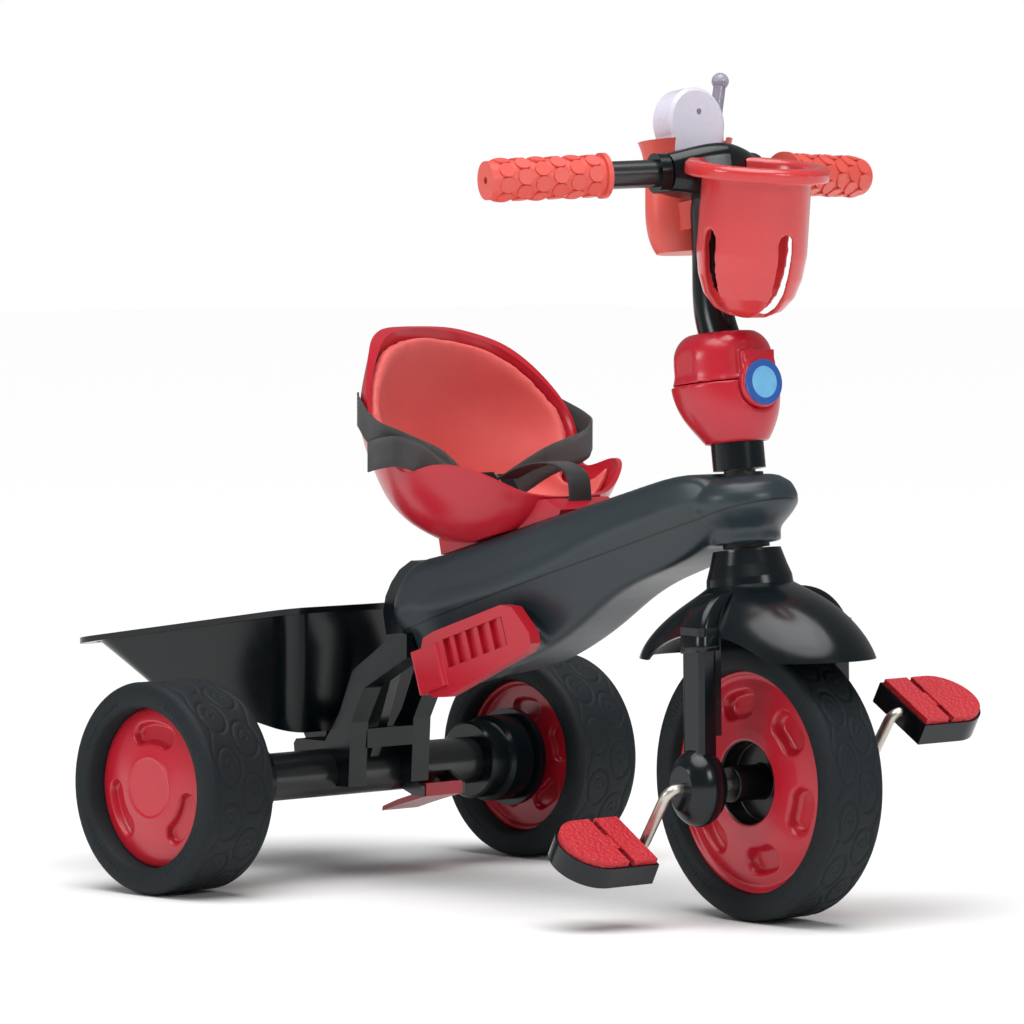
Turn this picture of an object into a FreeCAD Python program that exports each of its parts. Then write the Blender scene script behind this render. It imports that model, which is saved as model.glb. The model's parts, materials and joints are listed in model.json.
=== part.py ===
import FreeCAD, Part
import os
from math import atan2, cos, degrees, hypot, radians, sin, sqrt, tan

# Children's tricycle.  Millimetres, +X forward, +Z up, +Y to the rider's left.
# Everything is laid out from the middle of the rear axle on the ground, and the
# finished pieces are moved by origin_shift so that the origin is on the ground under
# the middle of the overall box.

V = FreeCAD.Vector

# ---- driving sizes -------------------------------------------------------------
wheelbase = 469.0
rear_wheel_radius = 88.0
rear_wheel_plane = 210.5
rear_tyre_width = 71.0
front_wheel_radius = 110.0
front_tyre_width = 55.0
steering_rake = 7.3
steer_at_rest = -6.5
bar_height = 483.0
bar_half_width = 192.0
bar_sweep_back = 45.0
body_half_width = 49.0
body_top_rear = 269.0
body_top_slope = 15.3
seat_half_width = 120.0
seat_back_top = 465.0
tray_rear = 207.0
crank_length = 60.0

# ---- fits and clearances -------------------------------------------------------
running_fit = 0.06
slide_gap = 0.3
soft_gap = 0.4
latch_travel = 6.0

# ---- placing -------------------------------------------------------------------
rake = radians(steering_rake)
steering_axis = V(-sin(rake), 0, cos(rake))
front_reach = wheelbase + front_wheel_radius
origin_shift = (front_reach - tray_rear) / 2

os.makedirs("parts", exist_ok=True)


def save(node, shape):
    """Write a node that stands still with the frame."""
    moved = shape.copy()
    moved.translate(V(-origin_shift, 0, 0))
    moved.exportStep("parts/" + node + ".step")


def steered(shape):
    """From the straight-ahead wheel frame (origin at the hub) to the resting pose."""
    turned = shape.copy()
    turned.rotate(V(0, 0, 0), steering_axis, steer_at_rest)
    turned.translate(V(wheelbase, 0, front_wheel_radius))
    return turned


def save_steered(node, shape):
    save(node, steered(shape))


def raked(shape):
    """From the column frame (+Z along the steering axis) to the wheel frame."""
    leaning = shape.copy()
    leaning.rotate(V(0, 0, 0), V(0, 1, 0), -steering_rake)
    return leaning


# ---- shape helpers ---------------------------------------------------------------
def box(x, y, z):
    return Part.makeBox(x[1] - x[0], y[1] - y[0], z[1] - z[0], V(x[0], y[0], z[0]))


def rod(start, end, radius):
    way = V(*end) - V(*start)
    return Part.makeCylinder(radius, way.Length, V(*start), way)


def pipe(start, end, outer, inner):
    way = V(*end) - V(*start)
    over = V(*start) - way
    return rod(start, end, outer).cut(Part.makeCylinder(inner, 3 * way.Length, over, way))


def joined(shapes):
    whole = shapes[0].fuse(shapes[1:]) if len(shapes) > 1 else shapes[0]
    whole = whole.removeSplitter()
    return whole.Solids[0] if len(whole.Solids) == 1 else whole


def group(shapes):
    return Part.makeCompound(shapes)


def both_sides(shape):
    """The shape and its mirror image across the middle plane."""
    return [shape, mirrored(shape)]


def mirrored(shape):
    return shape.mirror(V(0, 0, 0), V(0, 1, 0))


def outline_wire(points, closed=True):
    run = [V(*p) for p in points]
    if closed:
        run.append(run[0])
    return Part.makePolygon(run)


def side_plate(outline, y):
    """A plate cut to an outline of (x, z) points between two y values."""
    wire = outline_wire([(px, y[0], pz) for px, pz in outline])
    return Part.Face(wire).extrude(V(0, y[1] - y[0], 0))


def turned_y(outline):
    """A body turned about the Y axis from an outline of (radius, y) points."""
    wire = outline_wire([(r, y, 0) for r, y in outline])
    return Part.Face(wire).revolve(V(0, 0, 0), V(0, 1, 0), 360)


def turned_z(outline):
    """A body turned about the Z axis from an outline of (radius, z) points."""
    wire = outline_wire([(r, 0, z) for r, z in outline])
    return Part.Face(wire).revolve(V(0, 0, 0), V(0, 0, 1), 360)


def rounded_wire(centre, across, up, half_across, half_up, radius):
    """A rounded rectangle about a point, with straight sides and quarter-circle corners."""
    a = half_across - radius
    b = half_up - radius
    edges = []
    corners = [(a, b, 0), (-a, b, 90), (-a, -b, 180), (a, -b, 270)]

    def at(u, v):
        return centre + across * u + up * v

    def on_arc(u, v, angle):
        return at(u + radius * cos(radians(angle)), v + radius * sin(radians(angle)))

    for index, (u, v, begin) in enumerate(corners):
        arc = Part.Arc(on_arc(u, v, begin), on_arc(u, v, begin + 45), on_arc(u, v, begin + 90))
        edges.append(arc.toShape())
        nu, nv, nbegin = corners[(index + 1) % 4]
        edges.append(Part.makeLine(on_arc(u, v, begin + 90), on_arc(nu, nv, nbegin)))
    return Part.Wire(edges)


def rounded_bar(x, y, z, radius):
    """A box with its four upright edges rounded."""
    centre = V((x[0] + x[1]) / 2, (y[0] + y[1]) / 2, z[0])
    wire = rounded_wire(centre, V(1, 0, 0), V(0, 1, 0), (x[1] - x[0]) / 2, (y[1] - y[0]) / 2, radius)
    return Part.Face(wire).extrude(V(0, 0, z[1] - z[0]))


def rounded_polygon(points, radii):
    """A closed flat outline through corner points, each rounded by its own radius."""
    spots = [V(*p) for p in points]
    ends = []
    for index, spot in enumerate(spots):
        back = (spots[index - 1] - spot).normalize()
        ahead = (spots[(index + 1) % len(spots)] - spot).normalize()
        half = back.getAngle(ahead) / 2
        radius = radii[index]
        reach = radius / tan(half)
        apex = spot + (back + ahead).normalize() * (radius / sin(half) - radius)
        ends.append((spot + back * reach, apex, spot + ahead * reach))
    edges = []
    for index, (enter, apex, leave) in enumerate(ends):
        edges.append(Part.Arc(enter, apex, leave).toShape())
        edges.append(Part.makeLine(leave, ends[(index + 1) % len(ends)][0]))
    return Part.Wire(edges)


def ellipse_wire(centre, half_x, half_y):
    if half_x >= half_y:
        curve = Part.Ellipse(centre, half_x, half_y)
    else:
        curve = Part.Ellipse(centre + V(0, half_y, 0), centre + V(-half_x, 0, 0), centre)
    return Part.Wire([curve.toShape()])


def loft(wires, ruled=False):
    return Part.makeLoft(wires, True, ruled)


def bent_rod(points, radius, bend):
    """A round rod along straight runs joined by tangent arcs."""
    corners = [V(*p) for p in points]
    edges = []
    last = corners[0]
    for before, here, after in zip(corners, corners[1:], corners[2:]):
        back = (before - here).normalize()
        ahead = (after - here).normalize()
        half = back.getAngle(ahead) / 2
        reach = bend / tan(half)
        enter = here + back * reach
        leave = here + ahead * reach
        middle = (back + ahead).normalize()
        apex = here + middle * (bend / sin(half) - bend)
        edges.append(Part.makeLine(last, enter))
        edges.append(Part.Arc(enter, apex, leave).toShape())
        last = leave
    edges.append(Part.makeLine(last, corners[-1]))
    ring = Part.Wire([Part.makeCircle(radius, corners[0], corners[1] - corners[0])])
    return Part.Wire(edges).makePipeShell([ring], True, False)


def ribbon(stations, width, thickness):
    """A flat strap through stations of (point, width direction, face direction)."""
    wires = []
    for point, wide, face in stations:
        p = V(*point)
        w = V(*wide).normalize() * (width / 2)
        n = V(*face).normalize() * (thickness / 2)
        wires.append(Part.makePolygon([p + w + n, p - w + n, p - w - n, p + w - n, p + w + n]))
    return loft(wires, True)


# ---- rear axle ---------------------------------------------------------------------
axle_height = rear_wheel_radius
tube_radius = 20.0
tube_wall = 2.0
tube_half = 150.0
axle_rod_radius = 6.0
collar_start = 124.0
collar_step = 145.0
collar_neck_end = 168.0
flange_start = 171.0
flange_end = 177.5
brake_plane = 60.0
brake_half = 21.0
brake_pin_radius = 3.0
brake_pin_x = 31.0
brake_pin_drop = 18.0

axle_at = V(0, 0, axle_height)


def at_axle(shape):
    moved = shape.copy()
    moved.translate(axle_at)
    return moved


axle_tube = pipe((0, -tube_half, 0), (0, tube_half, 0), tube_radius, tube_radius - tube_wall)
brake_lugs = []
for side in (-1, 1):
    inner = brake_plane + side * (brake_half + slide_gap)
    outer = inner + side * 4.0
    lug_outline = [(15, -2), (brake_pin_x + 6, -brake_pin_drop + 4), (brake_pin_x + 6, -brake_pin_drop - 5),
                   (brake_pin_x - 4, -brake_pin_drop - 5), (8, -16)]
    lug = side_plate(lug_outline, sorted((inner, outer)))
    brake_lugs.append(lug.cut(rod((0, -tube_half, 0), (0, tube_half, 0), tube_radius - 0.5)))
brake_pin = rod((brake_pin_x, brake_plane - brake_half - 4, -brake_pin_drop),
                (brake_pin_x, brake_plane + brake_half + 4, -brake_pin_drop), brake_pin_radius)
save("rear_axle_tube", at_axle(joined([axle_tube] + brake_lugs + [brake_pin])))

# The brake pedal: a tab under the tube, hung from the pin, that is pressed down.
brake_outline = [(brake_pin_x + 7, -brake_pin_drop + 6), (brake_pin_x - 4, -brake_pin_drop + 5),
                 (brake_pin_x - 12, -brake_pin_drop - 5), (2, -28), (-16, -35), (-17, -39), (2, -33),
                 (brake_pin_x - 8, -brake_pin_drop - 9), (brake_pin_x + 7, -brake_pin_drop - 5)]
brake_tab = side_plate(brake_outline, (brake_plane - brake_half, brake_plane + brake_half))
brake_hole = rod((brake_pin_x, 0, -brake_pin_drop), (brake_pin_x, 120, -brake_pin_drop),
                 brake_pin_radius + running_fit)
brake_clear = rod((0, 0, 0), (0, 120, 0), tube_radius + slide_gap + 0.5)
save("brake_pedal", at_axle(brake_tab.cut(brake_hole).cut(brake_clear)))

rod_half = rear_wheel_plane + 17.0
journal = rod((0, -rod_half, 0), (0, rod_half, 0), axle_rod_radius)
save("rear_axle_rod", at_axle(journal))

collar_outline = [(axle_rod_radius, tube_half), (tube_radius, tube_half), (tube_radius, collar_start),
                  (31, collar_start), (33, collar_start + 2), (33, collar_step), (37, collar_step + 2),
                  (37, collar_neck_end), (34, collar_neck_end), (34, flange_start), (42, flange_start),
                  (42, flange_end), (axle_rod_radius, flange_end)]
axle_collar = turned_y(collar_outline)
save("axle_collar_left", at_axle(axle_collar))
save("axle_collar_right", at_axle(mirrored(axle_collar)))

# ---- wheels -------------------------------------------------------------------------
rear_rim_radius = 66.0
rear_rim_edge = 20.5
rear_tread_drop = 2.5
hub_radius = 15.0
hub_gap = 1.0
disc_web = 5.0
rear_slots = 3
rear_slot_radius = 45.0
rear_slot_half_width = 7.0
rear_slot_sweep = 26.0
rear_slot_depth = 9.0
inner_pockets = 5


def curved_slot(mid_radius, half_width, sweep, at_angle, y):
    """A kidney-shaped cutter that follows the wheel round, square to its face."""
    start = radians(at_angle - sweep / 2)
    end = radians(at_angle + sweep / 2)
    mid = radians(at_angle)
    outer = mid_radius + half_width
    inner = mid_radius - half_width

    def on(radius, angle):
        return V(radius * cos(angle), y[0], radius * sin(angle))

    cap_start = on(mid_radius, start - half_width / mid_radius)
    cap_end = on(mid_radius, end + half_width / mid_radius)
    edges = [Part.Arc(on(outer, start), on(outer, mid), on(outer, end)).toShape(),
             Part.Arc(on(outer, end), cap_end, on(inner, end)).toShape(),
             Part.Arc(on(inner, end), on(inner, mid), on(inner, start)).toShape(),
             Part.Arc(on(inner, start), cap_start, on(outer, start)).toShape()]
    return Part.Face(Part.Wire(edges)).extrude(V(0, y[1] - y[0], 0))


def tyre(radius, width, seat_radius, shoulder, drop):
    half = width / 2
    outline = [(seat_radius, -half + 6), (seat_radius + 5, -half), (radius - shoulder, -half),
               (radius - drop, -half + shoulder * 0.7), (radius, -half + shoulder * 1.6),
               (radius, half - shoulder * 1.6), (radius - drop, half - shoulder * 0.7),
               (radius - shoulder, half), (seat_radius + 5, half), (seat_radius, half - 6)]
    return turned_y(outline)


rear_tyre = tyre(rear_wheel_radius, rear_tyre_width, rear_rim_radius, 5.0, 2.0)
rear_half = rear_tyre_width / 2
hub_inner_end = -(rear_wheel_plane - flange_end - hub_gap)
hub_outer_end = 15.5
dome_rise = 4.0
rim_skin = 4.0

# The left rear wheel, outer face towards +Y: a drum with a dished outer face, a plain
# inner web and a long hub, all in one moulding.
rear_rim_outline = [(axle_rod_radius + running_fit, hub_inner_end), (hub_radius, hub_inner_end),
                    (hub_radius, -rear_rim_edge + 6), (rear_rim_radius - rim_skin, -rear_rim_edge + 6),
                    (rear_rim_radius - rim_skin, -rear_rim_edge), (rear_rim_radius, -rear_rim_edge),
                    (rear_rim_radius, rear_rim_edge), (rear_rim_radius - 6, rear_rim_edge + 0.5),
                    (30, rear_rim_edge + dome_rise), (30, rear_rim_edge + dome_rise - rim_skin),
                    (rear_rim_radius - rim_skin - 2, rear_rim_edge - rim_skin),
                    (rear_rim_radius - rim_skin, rear_rim_edge - 8),
                    (rear_rim_radius - rim_skin, -rear_rim_edge + 6 + disc_web),
                    (hub_radius, -rear_rim_edge + 6 + disc_web), (hub_radius, hub_outer_end),
                    (axle_rod_radius + running_fit, hub_outer_end)]
rear_rim = turned_y(rear_rim_outline)
for turn in range(rear_slots):
    angle = 95.0 + turn * 360.0 / rear_slots
    rear_rim = rear_rim.cut(curved_slot(rear_slot_radius, rear_slot_half_width, rear_slot_sweep, angle,
                                        (rear_rim_edge - 8, rear_rim_edge + 12)))
for turn in range(inner_pockets):
    angle = 90.0 + turn * 360.0 / inner_pockets
    rear_rim = rear_rim.cut(curved_slot(41, 8, 22, angle, (-rear_rim_edge, -rear_rim_edge + 8.5)))

# The hubcap plugs the middle of the outer face and reaches in round the hub.
cap_radius = 26.0
hubcap_outline = [(0, rear_rim_edge + 6.5), (cap_radius - 2, rear_rim_edge + 6.5),
                  (30, rear_rim_edge + dome_rise), (30, rear_rim_edge + dome_rise - rim_skin),
                  (cap_radius - 4, rear_rim_edge + dome_rise - rim_skin), (cap_radius - 4, 2.0),
                  (hub_radius, 2.0), (hub_radius, hub_outer_end), (cap_radius - 7, hub_outer_end),
                  (cap_radius - 7, rear_rim_edge + 2.5), (0, rear_rim_edge + 2.5)]
rear_hubcap = turned_y(hubcap_outline)

retainer_outline = [(axle_rod_radius, hub_outer_end + 0.3), (12, hub_outer_end + 0.3),
                    (12, hub_outer_end + 1.5), (axle_rod_radius, hub_outer_end + 1.5)]
retainer = turned_y(retainer_outline)
wheel_turn = {"left": 0.0, "right": 0.0}
for side, sign in (("left", 1), ("right", -1)):
    for node, shape in (("tyre", rear_tyre), ("rim", rear_rim), ("hubcap", rear_hubcap)):
        placed = shape if sign > 0 else mirrored(shape)
        placed = placed.copy()
        placed.translate(V(0, sign * rear_wheel_plane, axle_height))
        save("rear_" + node + "_" + side, placed)
retainers = []
for sign in (1, -1):
    placed = retainer.copy() if sign > 0 else mirrored(retainer)
    placed.translate(V(0, sign * rear_wheel_plane, axle_height))
    retainers.append(placed)
save("axle_retainers", group(retainers))

# ---- front wheel ------------------------------------------------------------------------
front_rim_radius = 88.0
front_rim_edge = 17.5
crank_radius = 4.5
front_hub_radius = 14.0
front_hub_half = 40.0
front_pockets = 6
front_recess_radius = 32.0

front_tyre = tyre(front_wheel_radius, front_tyre_width, front_rim_radius, 4.0, 2.0)
save_steered("front_tyre", front_tyre)

front_rim_outline = [(crank_radius, -front_hub_half), (front_hub_radius, -front_hub_half),
                     (front_hub_radius, -6), (front_recess_radius - 3, -6), (front_recess_radius, -14),
                     (front_recess_radius + 6, -16.5), (front_rim_radius - 10, -14.5),
                     (front_rim_radius - 3, -front_rim_edge), (front_rim_radius, -front_rim_edge),
                     (front_rim_radius, front_rim_edge), (front_rim_radius - 3, front_rim_edge),
                     (front_rim_radius - 10, 14.5), (front_recess_radius + 6, 16.5),
                     (front_recess_radius, 14), (front_recess_radius - 3, 6), (front_hub_radius, 6),
                     (front_hub_radius, front_hub_half), (crank_radius, front_hub_half)]
front_rim = turned_y(front_rim_outline)
for turn in range(front_pockets):
    for sign in (-1, 1):
        angle = 35.0 + turn * 360.0 / front_pockets
        depth = sorted((sign * 4.0, sign * 30.0))
        front_rim = front_rim.cut(curved_slot(65, 11.5, 13, angle, depth))
save_steered("front_rim", front_rim)

# ---- cranks and pedals ---------------------------------------------------------------------
crank_angle = -125.0
arm_plane = 101.0
crank_bend = 9.0
pin_end = 165.0
pedal_inner = 108.0
pedal_outer = 183.0
pedal_half_length = 31.0
pedal_drop = 10.0
pedal_rise = 8.0
tread_thickness = 4.5
pedal_tilt = 30.0

crank_x = crank_length * cos(radians(crank_angle))
crank_z = crank_length * sin(radians(crank_angle))
crank_run = [(crank_x, -pin_end, crank_z), (crank_x, -arm_plane, crank_z), (0, -arm_plane, 0),
             (0, arm_plane, 0), (-crank_x, arm_plane, -crank_z), (-crank_x, pin_end, -crank_z)]
save_steered("crank_axle", bent_rod(crank_run, crank_radius, crank_bend))



# One pedal about its own pin, with the rounded end outwards (+Y).
def pedal_face(half_length, inner, outer, z):
    """A D-shaped outline: square at the crank, round at the outer end."""
    bow = min(half_length, outer - inner - 6)
    square = outer - bow
    edges = [Part.makeLine(V(half_length, square, z), V(half_length, inner, z)),
             Part.makeLine(V(half_length, inner, z), V(-half_length, inner, z)),
             Part.makeLine(V(-half_length, inner, z), V(-half_length, square, z)),
             Part.Arc(V(-half_length, square, z), V(0, outer, z), V(half_length, square, z)).toShape()]
    return Part.Face(Part.Wire(edges))


pedal_frame = pedal_face(pedal_half_length, pedal_inner, pedal_outer, -pedal_drop)
pedal_frame = pedal_frame.extrude(V(0, 0, pedal_drop + pedal_rise))
under = pedal_face(pedal_half_length - 4, pedal_inner + 4, pedal_outer - 5, -pedal_drop)
under = under.extrude(V(0, 0, pedal_drop + pedal_rise - 4)).cut(
    rod((0, 0, 0), (0, pedal_outer, 0), crank_radius + 5))
pin_hole = rod((0, 0, 0), (0, pin_end + 1.0, 0), crank_radius + running_fit)
bend_room = rod((0, 0, 0), (0, arm_plane + crank_bend + 0.2, 0), crank_radius + 0.8)
pedal_frame = pedal_frame.cut(under).cut(pin_hole).cut(bend_room)
tread_split = pedal_inner + 25.0
tread_gap = 5.0
tread_bar = box((-pedal_half_length + 2, pedal_half_length - 2), (pedal_inner + 2, tread_split),
                (pedal_rise, pedal_rise + tread_thickness))
tread_moon = pedal_face(pedal_half_length - 2, tread_split + tread_gap, pedal_outer - 2, pedal_rise)
tread_moon = tread_moon.extrude(V(0, 0, tread_thickness))
tread_bridge = box((-9, 9), (tread_split - 1, tread_split + tread_gap + 1),
                   (pedal_rise, pedal_rise + tread_thickness - 1.5))
pedal_tread = joined([tread_bar, tread_moon, tread_bridge])
for side, sign in (("left", 1), ("right", -1)):
    for node, shape in (("pedal", pedal_frame), ("pedal_tread", pedal_tread)):
        placed = shape.copy() if sign > 0 else mirrored(shape)
        placed.rotate(V(0, 0, 0), V(0, 1, 0), pedal_tilt)
        placed.translate(V(-sign * crank_x, 0, -sign * crank_z))
        save_steered(node + "_" + side, placed)

# ---- fork ---------------------------------------------------------------------------------
leg_plane = 69.0
leg_half_thickness = 8.5
leg_half_depth = 12.0
leg_top = 116.0
crown_wall = 6.0
crown_under = 117.0
crown_top = 124.0
steerer_radius = 12.7
steerer_top = 330.0
fender_rim = 96.5
fender_tilt = 1.7
fender_half_length = 115.0
fender_half_width = 74.0
fender_wall = 3.0
arch_radius = 119.0
neck_radius_low = 34.5
neck_foot = 154.5
neck_end = 182.7
cap_plane = 71.0
cap_half = (24.0, 22.0, 31.0)

leg_inner = leg_plane - leg_half_thickness
leg_outer = leg_plane + leg_half_thickness
crank_bore = rod((0, -pin_end, 0), (0, pin_end, 0), crank_radius + running_fit)

# The steel crown is an upside-down U over the wheel with the steerer welded to it.
crown_bridge = raked(box((-16, 16), (-leg_inner, leg_inner), (crown_under, crown_top)))
crown_cheek = box((-9, 9), (leg_inner - crown_wall, leg_inner), (40, crown_under - 2))
crown_shoulder = box((-26, 9), (leg_inner - crown_wall, leg_inner), (crown_under - 14, crown_under + 4))
steerer = raked(rod((0, 0, crown_top - 2), (0, 0, steerer_top), steerer_radius))
crown_pieces = both_sides(crown_cheek) + both_sides(crown_shoulder)
crown = joined([crown_bridge, steerer] + crown_pieces)
save_steered("steerer_crown", crown)

# The hub cover is an egg-shaped boss at the foot of each leg.
leg_shape = rounded_bar((-leg_half_depth, leg_half_depth), (leg_inner, leg_outer), (-16, leg_top), 4.0)
leg_clear = leg_shape.copy()
leg = leg_shape.cut(crank_bore)
egg = Part.makeSphere(1.0)
squash = FreeCAD.Matrix()
squash.scale(cap_half[0], cap_half[1], cap_half[2])
egg = egg.transformGeometry(squash)
egg.translate(V(0, cap_plane, 0))
egg = egg.common(box((-40, 40), (leg_inner - 6, cap_plane + 18), (-40, 40)))
hub_cover = egg.cut(leg_clear).cut(crank_bore)
hub_cover = max(hub_cover.Solids, key=lambda solid: solid.Volume)
for side, sign in (("left", 1), ("right", -1)):
    for node, shape in (("fork_leg", leg), ("hub_cover", hub_cover)):
        placed = shape if sign > 0 else mirrored(shape)
        save_steered(node + "_" + side, placed)

# The ribbed bright inserts on the back edge of each leg.
insert_low = 24.0
insert_high = 62.0
insert = box((-leg_half_depth - 2.0, -leg_half_depth), (leg_plane - 4, leg_plane + 4),
             (insert_low, insert_high))
rib_count = 8
for step in range(rib_count):
    low = insert_low + 3 + step * (insert_high - insert_low - 4) / rib_count
    groove = box((-leg_half_depth - 3, -leg_half_depth - 1), (leg_plane - 3, leg_plane + 3),
                 (low, low + 2))
    insert = insert.cut(groove)
insert = max(insert.cut(hub_cover).Solids, key=lambda solid: solid.Volume)
save_steered("fork_inserts", group(both_sides(insert)))


# The fender is an oval dome, wide and nearly level at its rim, that rises to the neck.
neck_base = V(-sin(rake) * neck_foot, 0, cos(rake) * neck_foot)
fender_middle = -sin(rake) * fender_rim
dome_shares = [(0.0, 1.0, 1.0), (0.22, 0.93, 0.95), (0.45, 0.81, 0.86), (0.65, 0.67, 0.74), (0.83, 0.50, 0.60)]


def dome(inset):
    """Ovals that shrink and lean back from the rim to a disc under the neck collar."""
    wires = []
    rise = neck_base.z - fender_rim
    for share, along, across in dome_shares:
        middle = fender_middle + (neck_base.x - fender_middle) * share
        oval = ellipse_wire(V(0, 0, 0), fender_half_length * along - inset, fender_half_width * across - inset)
        oval.rotate(V(0, 0, 0), V(0, 1, 0), -fender_tilt - (steering_rake - fender_tilt) * share)
        oval.translate(V(middle, 0, fender_rim + rise * share - inset * share * 0.8))
        wires.append(oval)
    last = ellipse_wire(V(0, 0, 0), neck_radius_low, neck_radius_low - 0.01)
    last.rotate(V(0, 0, 0), V(0, 1, 0), -steering_rake)
    last.translate(neck_base + V(0, 0, -inset))
    wires.append(last)
    return loft(wires)


arch = rod((0, -120, 0), (0, 120, 0), arch_radius)
inner_dome = dome(fender_wall)
fender = dome(0.0).cut(inner_dome).cut(raked(rod((0, 0, 0), (0, 0, 300), steerer_radius)))
pilaster = rounded_bar((-leg_half_depth - 1.5, leg_half_depth + 1.5), (leg_inner - 14, leg_outer + 1.5),
                       (leg_top - 14, leg_top + 9), 4.0)
pilasters = group(both_sides(pilaster.cut(inner_dome)))
fender = joined([fender, pilasters]).cut(arch)
fender = fender.cut(group(both_sides(leg_clear))).cut(crown)
fender = max(fender.Solids, key=lambda solid: solid.Volume)
save_steered("front_fender", fender)

neck_outline = [(steerer_radius, neck_foot), (neck_radius_low, neck_foot), (34.0, neck_foot + 6), (30.5, neck_foot + 16),
                (27.5, neck_end - 2), (27.0, neck_end), (steerer_radius, neck_end)]
save_steered("neck_collar", raked(turned_z(neck_outline)))

# ---- main frame ----------------------------------------------------------------------------
head_low = neck_end + 4.5
head_high = 240.0
head_radius = 18.5
bush_flange = 3.0
spine_radius = 10.0
post_foot = V(9, 0, 104)
post_top = V(42, 0, 190)
spine_start = V(80, 0, 209)


def on_axis(height):
    """The point on the steering axis at a height along it, from the rear axle."""
    return V(wheelbase, 0, front_wheel_radius) + steering_axis * height


def column_still(shape):
    """A piece round the steering axis that belongs to the frame and isn't steered."""
    placed = raked(shape)
    placed.translate(V(wheelbase, 0, front_wheel_radius))
    return placed


head_tube = column_still(rod((0, 0, head_low), (0, 0, head_high), head_radius))
head_bore = column_still(rod((0, 0, head_low - 50), (0, 0, head_high + 50), steerer_radius + 2.5))
spine_end = on_axis((head_low + head_high) / 2)
spine = rod(tuple(spine_start), tuple(spine_end), spine_radius)
post_half_x = 7.0
post_half_y = 5.0
post_outline = [(post_foot.x - post_half_x, post_foot.z - 4), (post_foot.x + post_half_x, post_foot.z - 4),
                (post_top.x + post_half_x, post_top.z - 3), (spine_start.x + 12, spine_start.z - 6),
                (spine_start.x + 12, spine_start.z + 6), (post_top.x - post_half_x, post_top.z)]
post = side_plate(post_outline, (-post_half_y, post_half_y))
axle_bar = at_axle(rod((0, -tube_half, 0), (0, tube_half, 0), tube_radius))
main_frame = joined([head_tube, spine, post]).cut(head_bore).cut(axle_bar)
save("main_frame", main_frame)

bush_outer = steerer_radius + 2.5
bush_outline = [(steerer_radius + running_fit, 0), (head_radius, 0), (head_radius, bush_flange),
                (bush_outer, bush_flange), (bush_outer, 14), (steerer_radius + running_fit, 14)]
lower_bush = turned_z(bush_outline)
lower_bush.translate(V(0, 0, head_low - bush_flange))
upper_bush = turned_z(bush_outline)
upper_bush.rotate(V(0, 0, 0), V(1, 0, 0), 180)
upper_bush.translate(V(0, 0, head_high + bush_flange))
save("headset_bushes", group([column_still(lower_bush), column_still(upper_bush)]))

# The saddle bracket grips the axle tube with two cheeks and carries the body's tail.
cheek_inner = 26.0
cheek_outer = 46.0
tray_pin = V(-27, 0, 109)
tray_pin_radius = 4.0
cheek_outline = [(12, 78), (33, 78), (36, 132), (52, 162), (104, 190), (104, 210), (84, 206), (38, 176),
                 (22, 140), (4, 115), (tray_pin.x - 5, 115), (tray_pin.x - 8, tray_pin.z + 2),
                 (tray_pin.x - 7, tray_pin.z - 7), (-23, 95), (-21, 88), (0, 88)]
cheek = side_plate(cheek_outline, (cheek_inner, cheek_outer)).cut(axle_bar)
cross_web = box((24, 36), (-cheek_inner - 1, cheek_inner + 1), (110, 126)).cut(axle_bar)
post_room = side_plate(post_outline, (-post_half_y - 0.5, post_half_y + 0.5))
hinge_pin = rod((tray_pin.x, -cheek_outer, tray_pin.z), (tray_pin.x, cheek_outer, tray_pin.z),
                tray_pin_radius)
axle_saddle = joined(both_sides(cheek) + [cross_web.cut(post_room), hinge_pin])
save("axle_bracket", axle_saddle.cut(at_axle(joined(brake_lugs))))

# ---- body shells ------------------------------------------------------------------------------
slope = tan(radians(body_top_slope))
shell_wall = 3.0
top_start = 111.0
nose_centre = on_axis(225.0).x
belly_half = 26.0
flank_drop = 0.42
body_stations = [(84.0, 206.0, 240.0, 43.0), (92.0, 194.0, 253.0, 46.5), (111.0, 180.0, None, 48.0),
                 (133.0, 173.0, None, body_half_width), (166.0, 177.0, None, body_half_width),
                 (203.0, 185.0, None, body_half_width), (247.0, 202.0, None, body_half_width),
                 (281.0, 221.0, None, body_half_width), (314.0, 243.0, None, body_half_width),
                 (351.0, 262.0, None, body_half_width), (nose_centre - 26, 288.0, 350.0, body_half_width - 2),
                 (nose_centre - 4, 303.0, 349.0, body_half_width - 7)]


def body_top(x):
    return body_top_rear + slope * (x - top_start)


def body_skin(inset):
    """Six-sided sections: a flat top, upright flanks and a belly that narrows downwards."""
    wires = []
    for x, low, high, half in body_stations:
        high = body_top(x) if high is None else high
        shift = inset if x == body_stations[0][0] else 0
        shift = -inset if x == body_stations[-1][0] else shift
        flank = high - (high - low) * flank_drop
        belly = belly_half + (half - belly_half) * 0.15
        corners = [(x + shift, half - 3 - inset, high - inset), (x + shift, half - inset, flank),
                   (x + shift, belly - inset * 0.6, low + inset), (x + shift, -belly + inset * 0.6, low + inset),
                   (x + shift, -half + inset, flank), (x + shift, -half + 3 + inset, high - inset)]
        wires.append(rounded_polygon(corners, [9.0, 12.0, 9.0, 9.0, 12.0, 9.0]))
    return loft(wires)


# The nose is a drum about the steering axis, flat on top and tapered to the neck.
nose_high = 241.0
nose_low = 198.0
nose_radius = 44.0
neck_radius = 28.0


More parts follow.
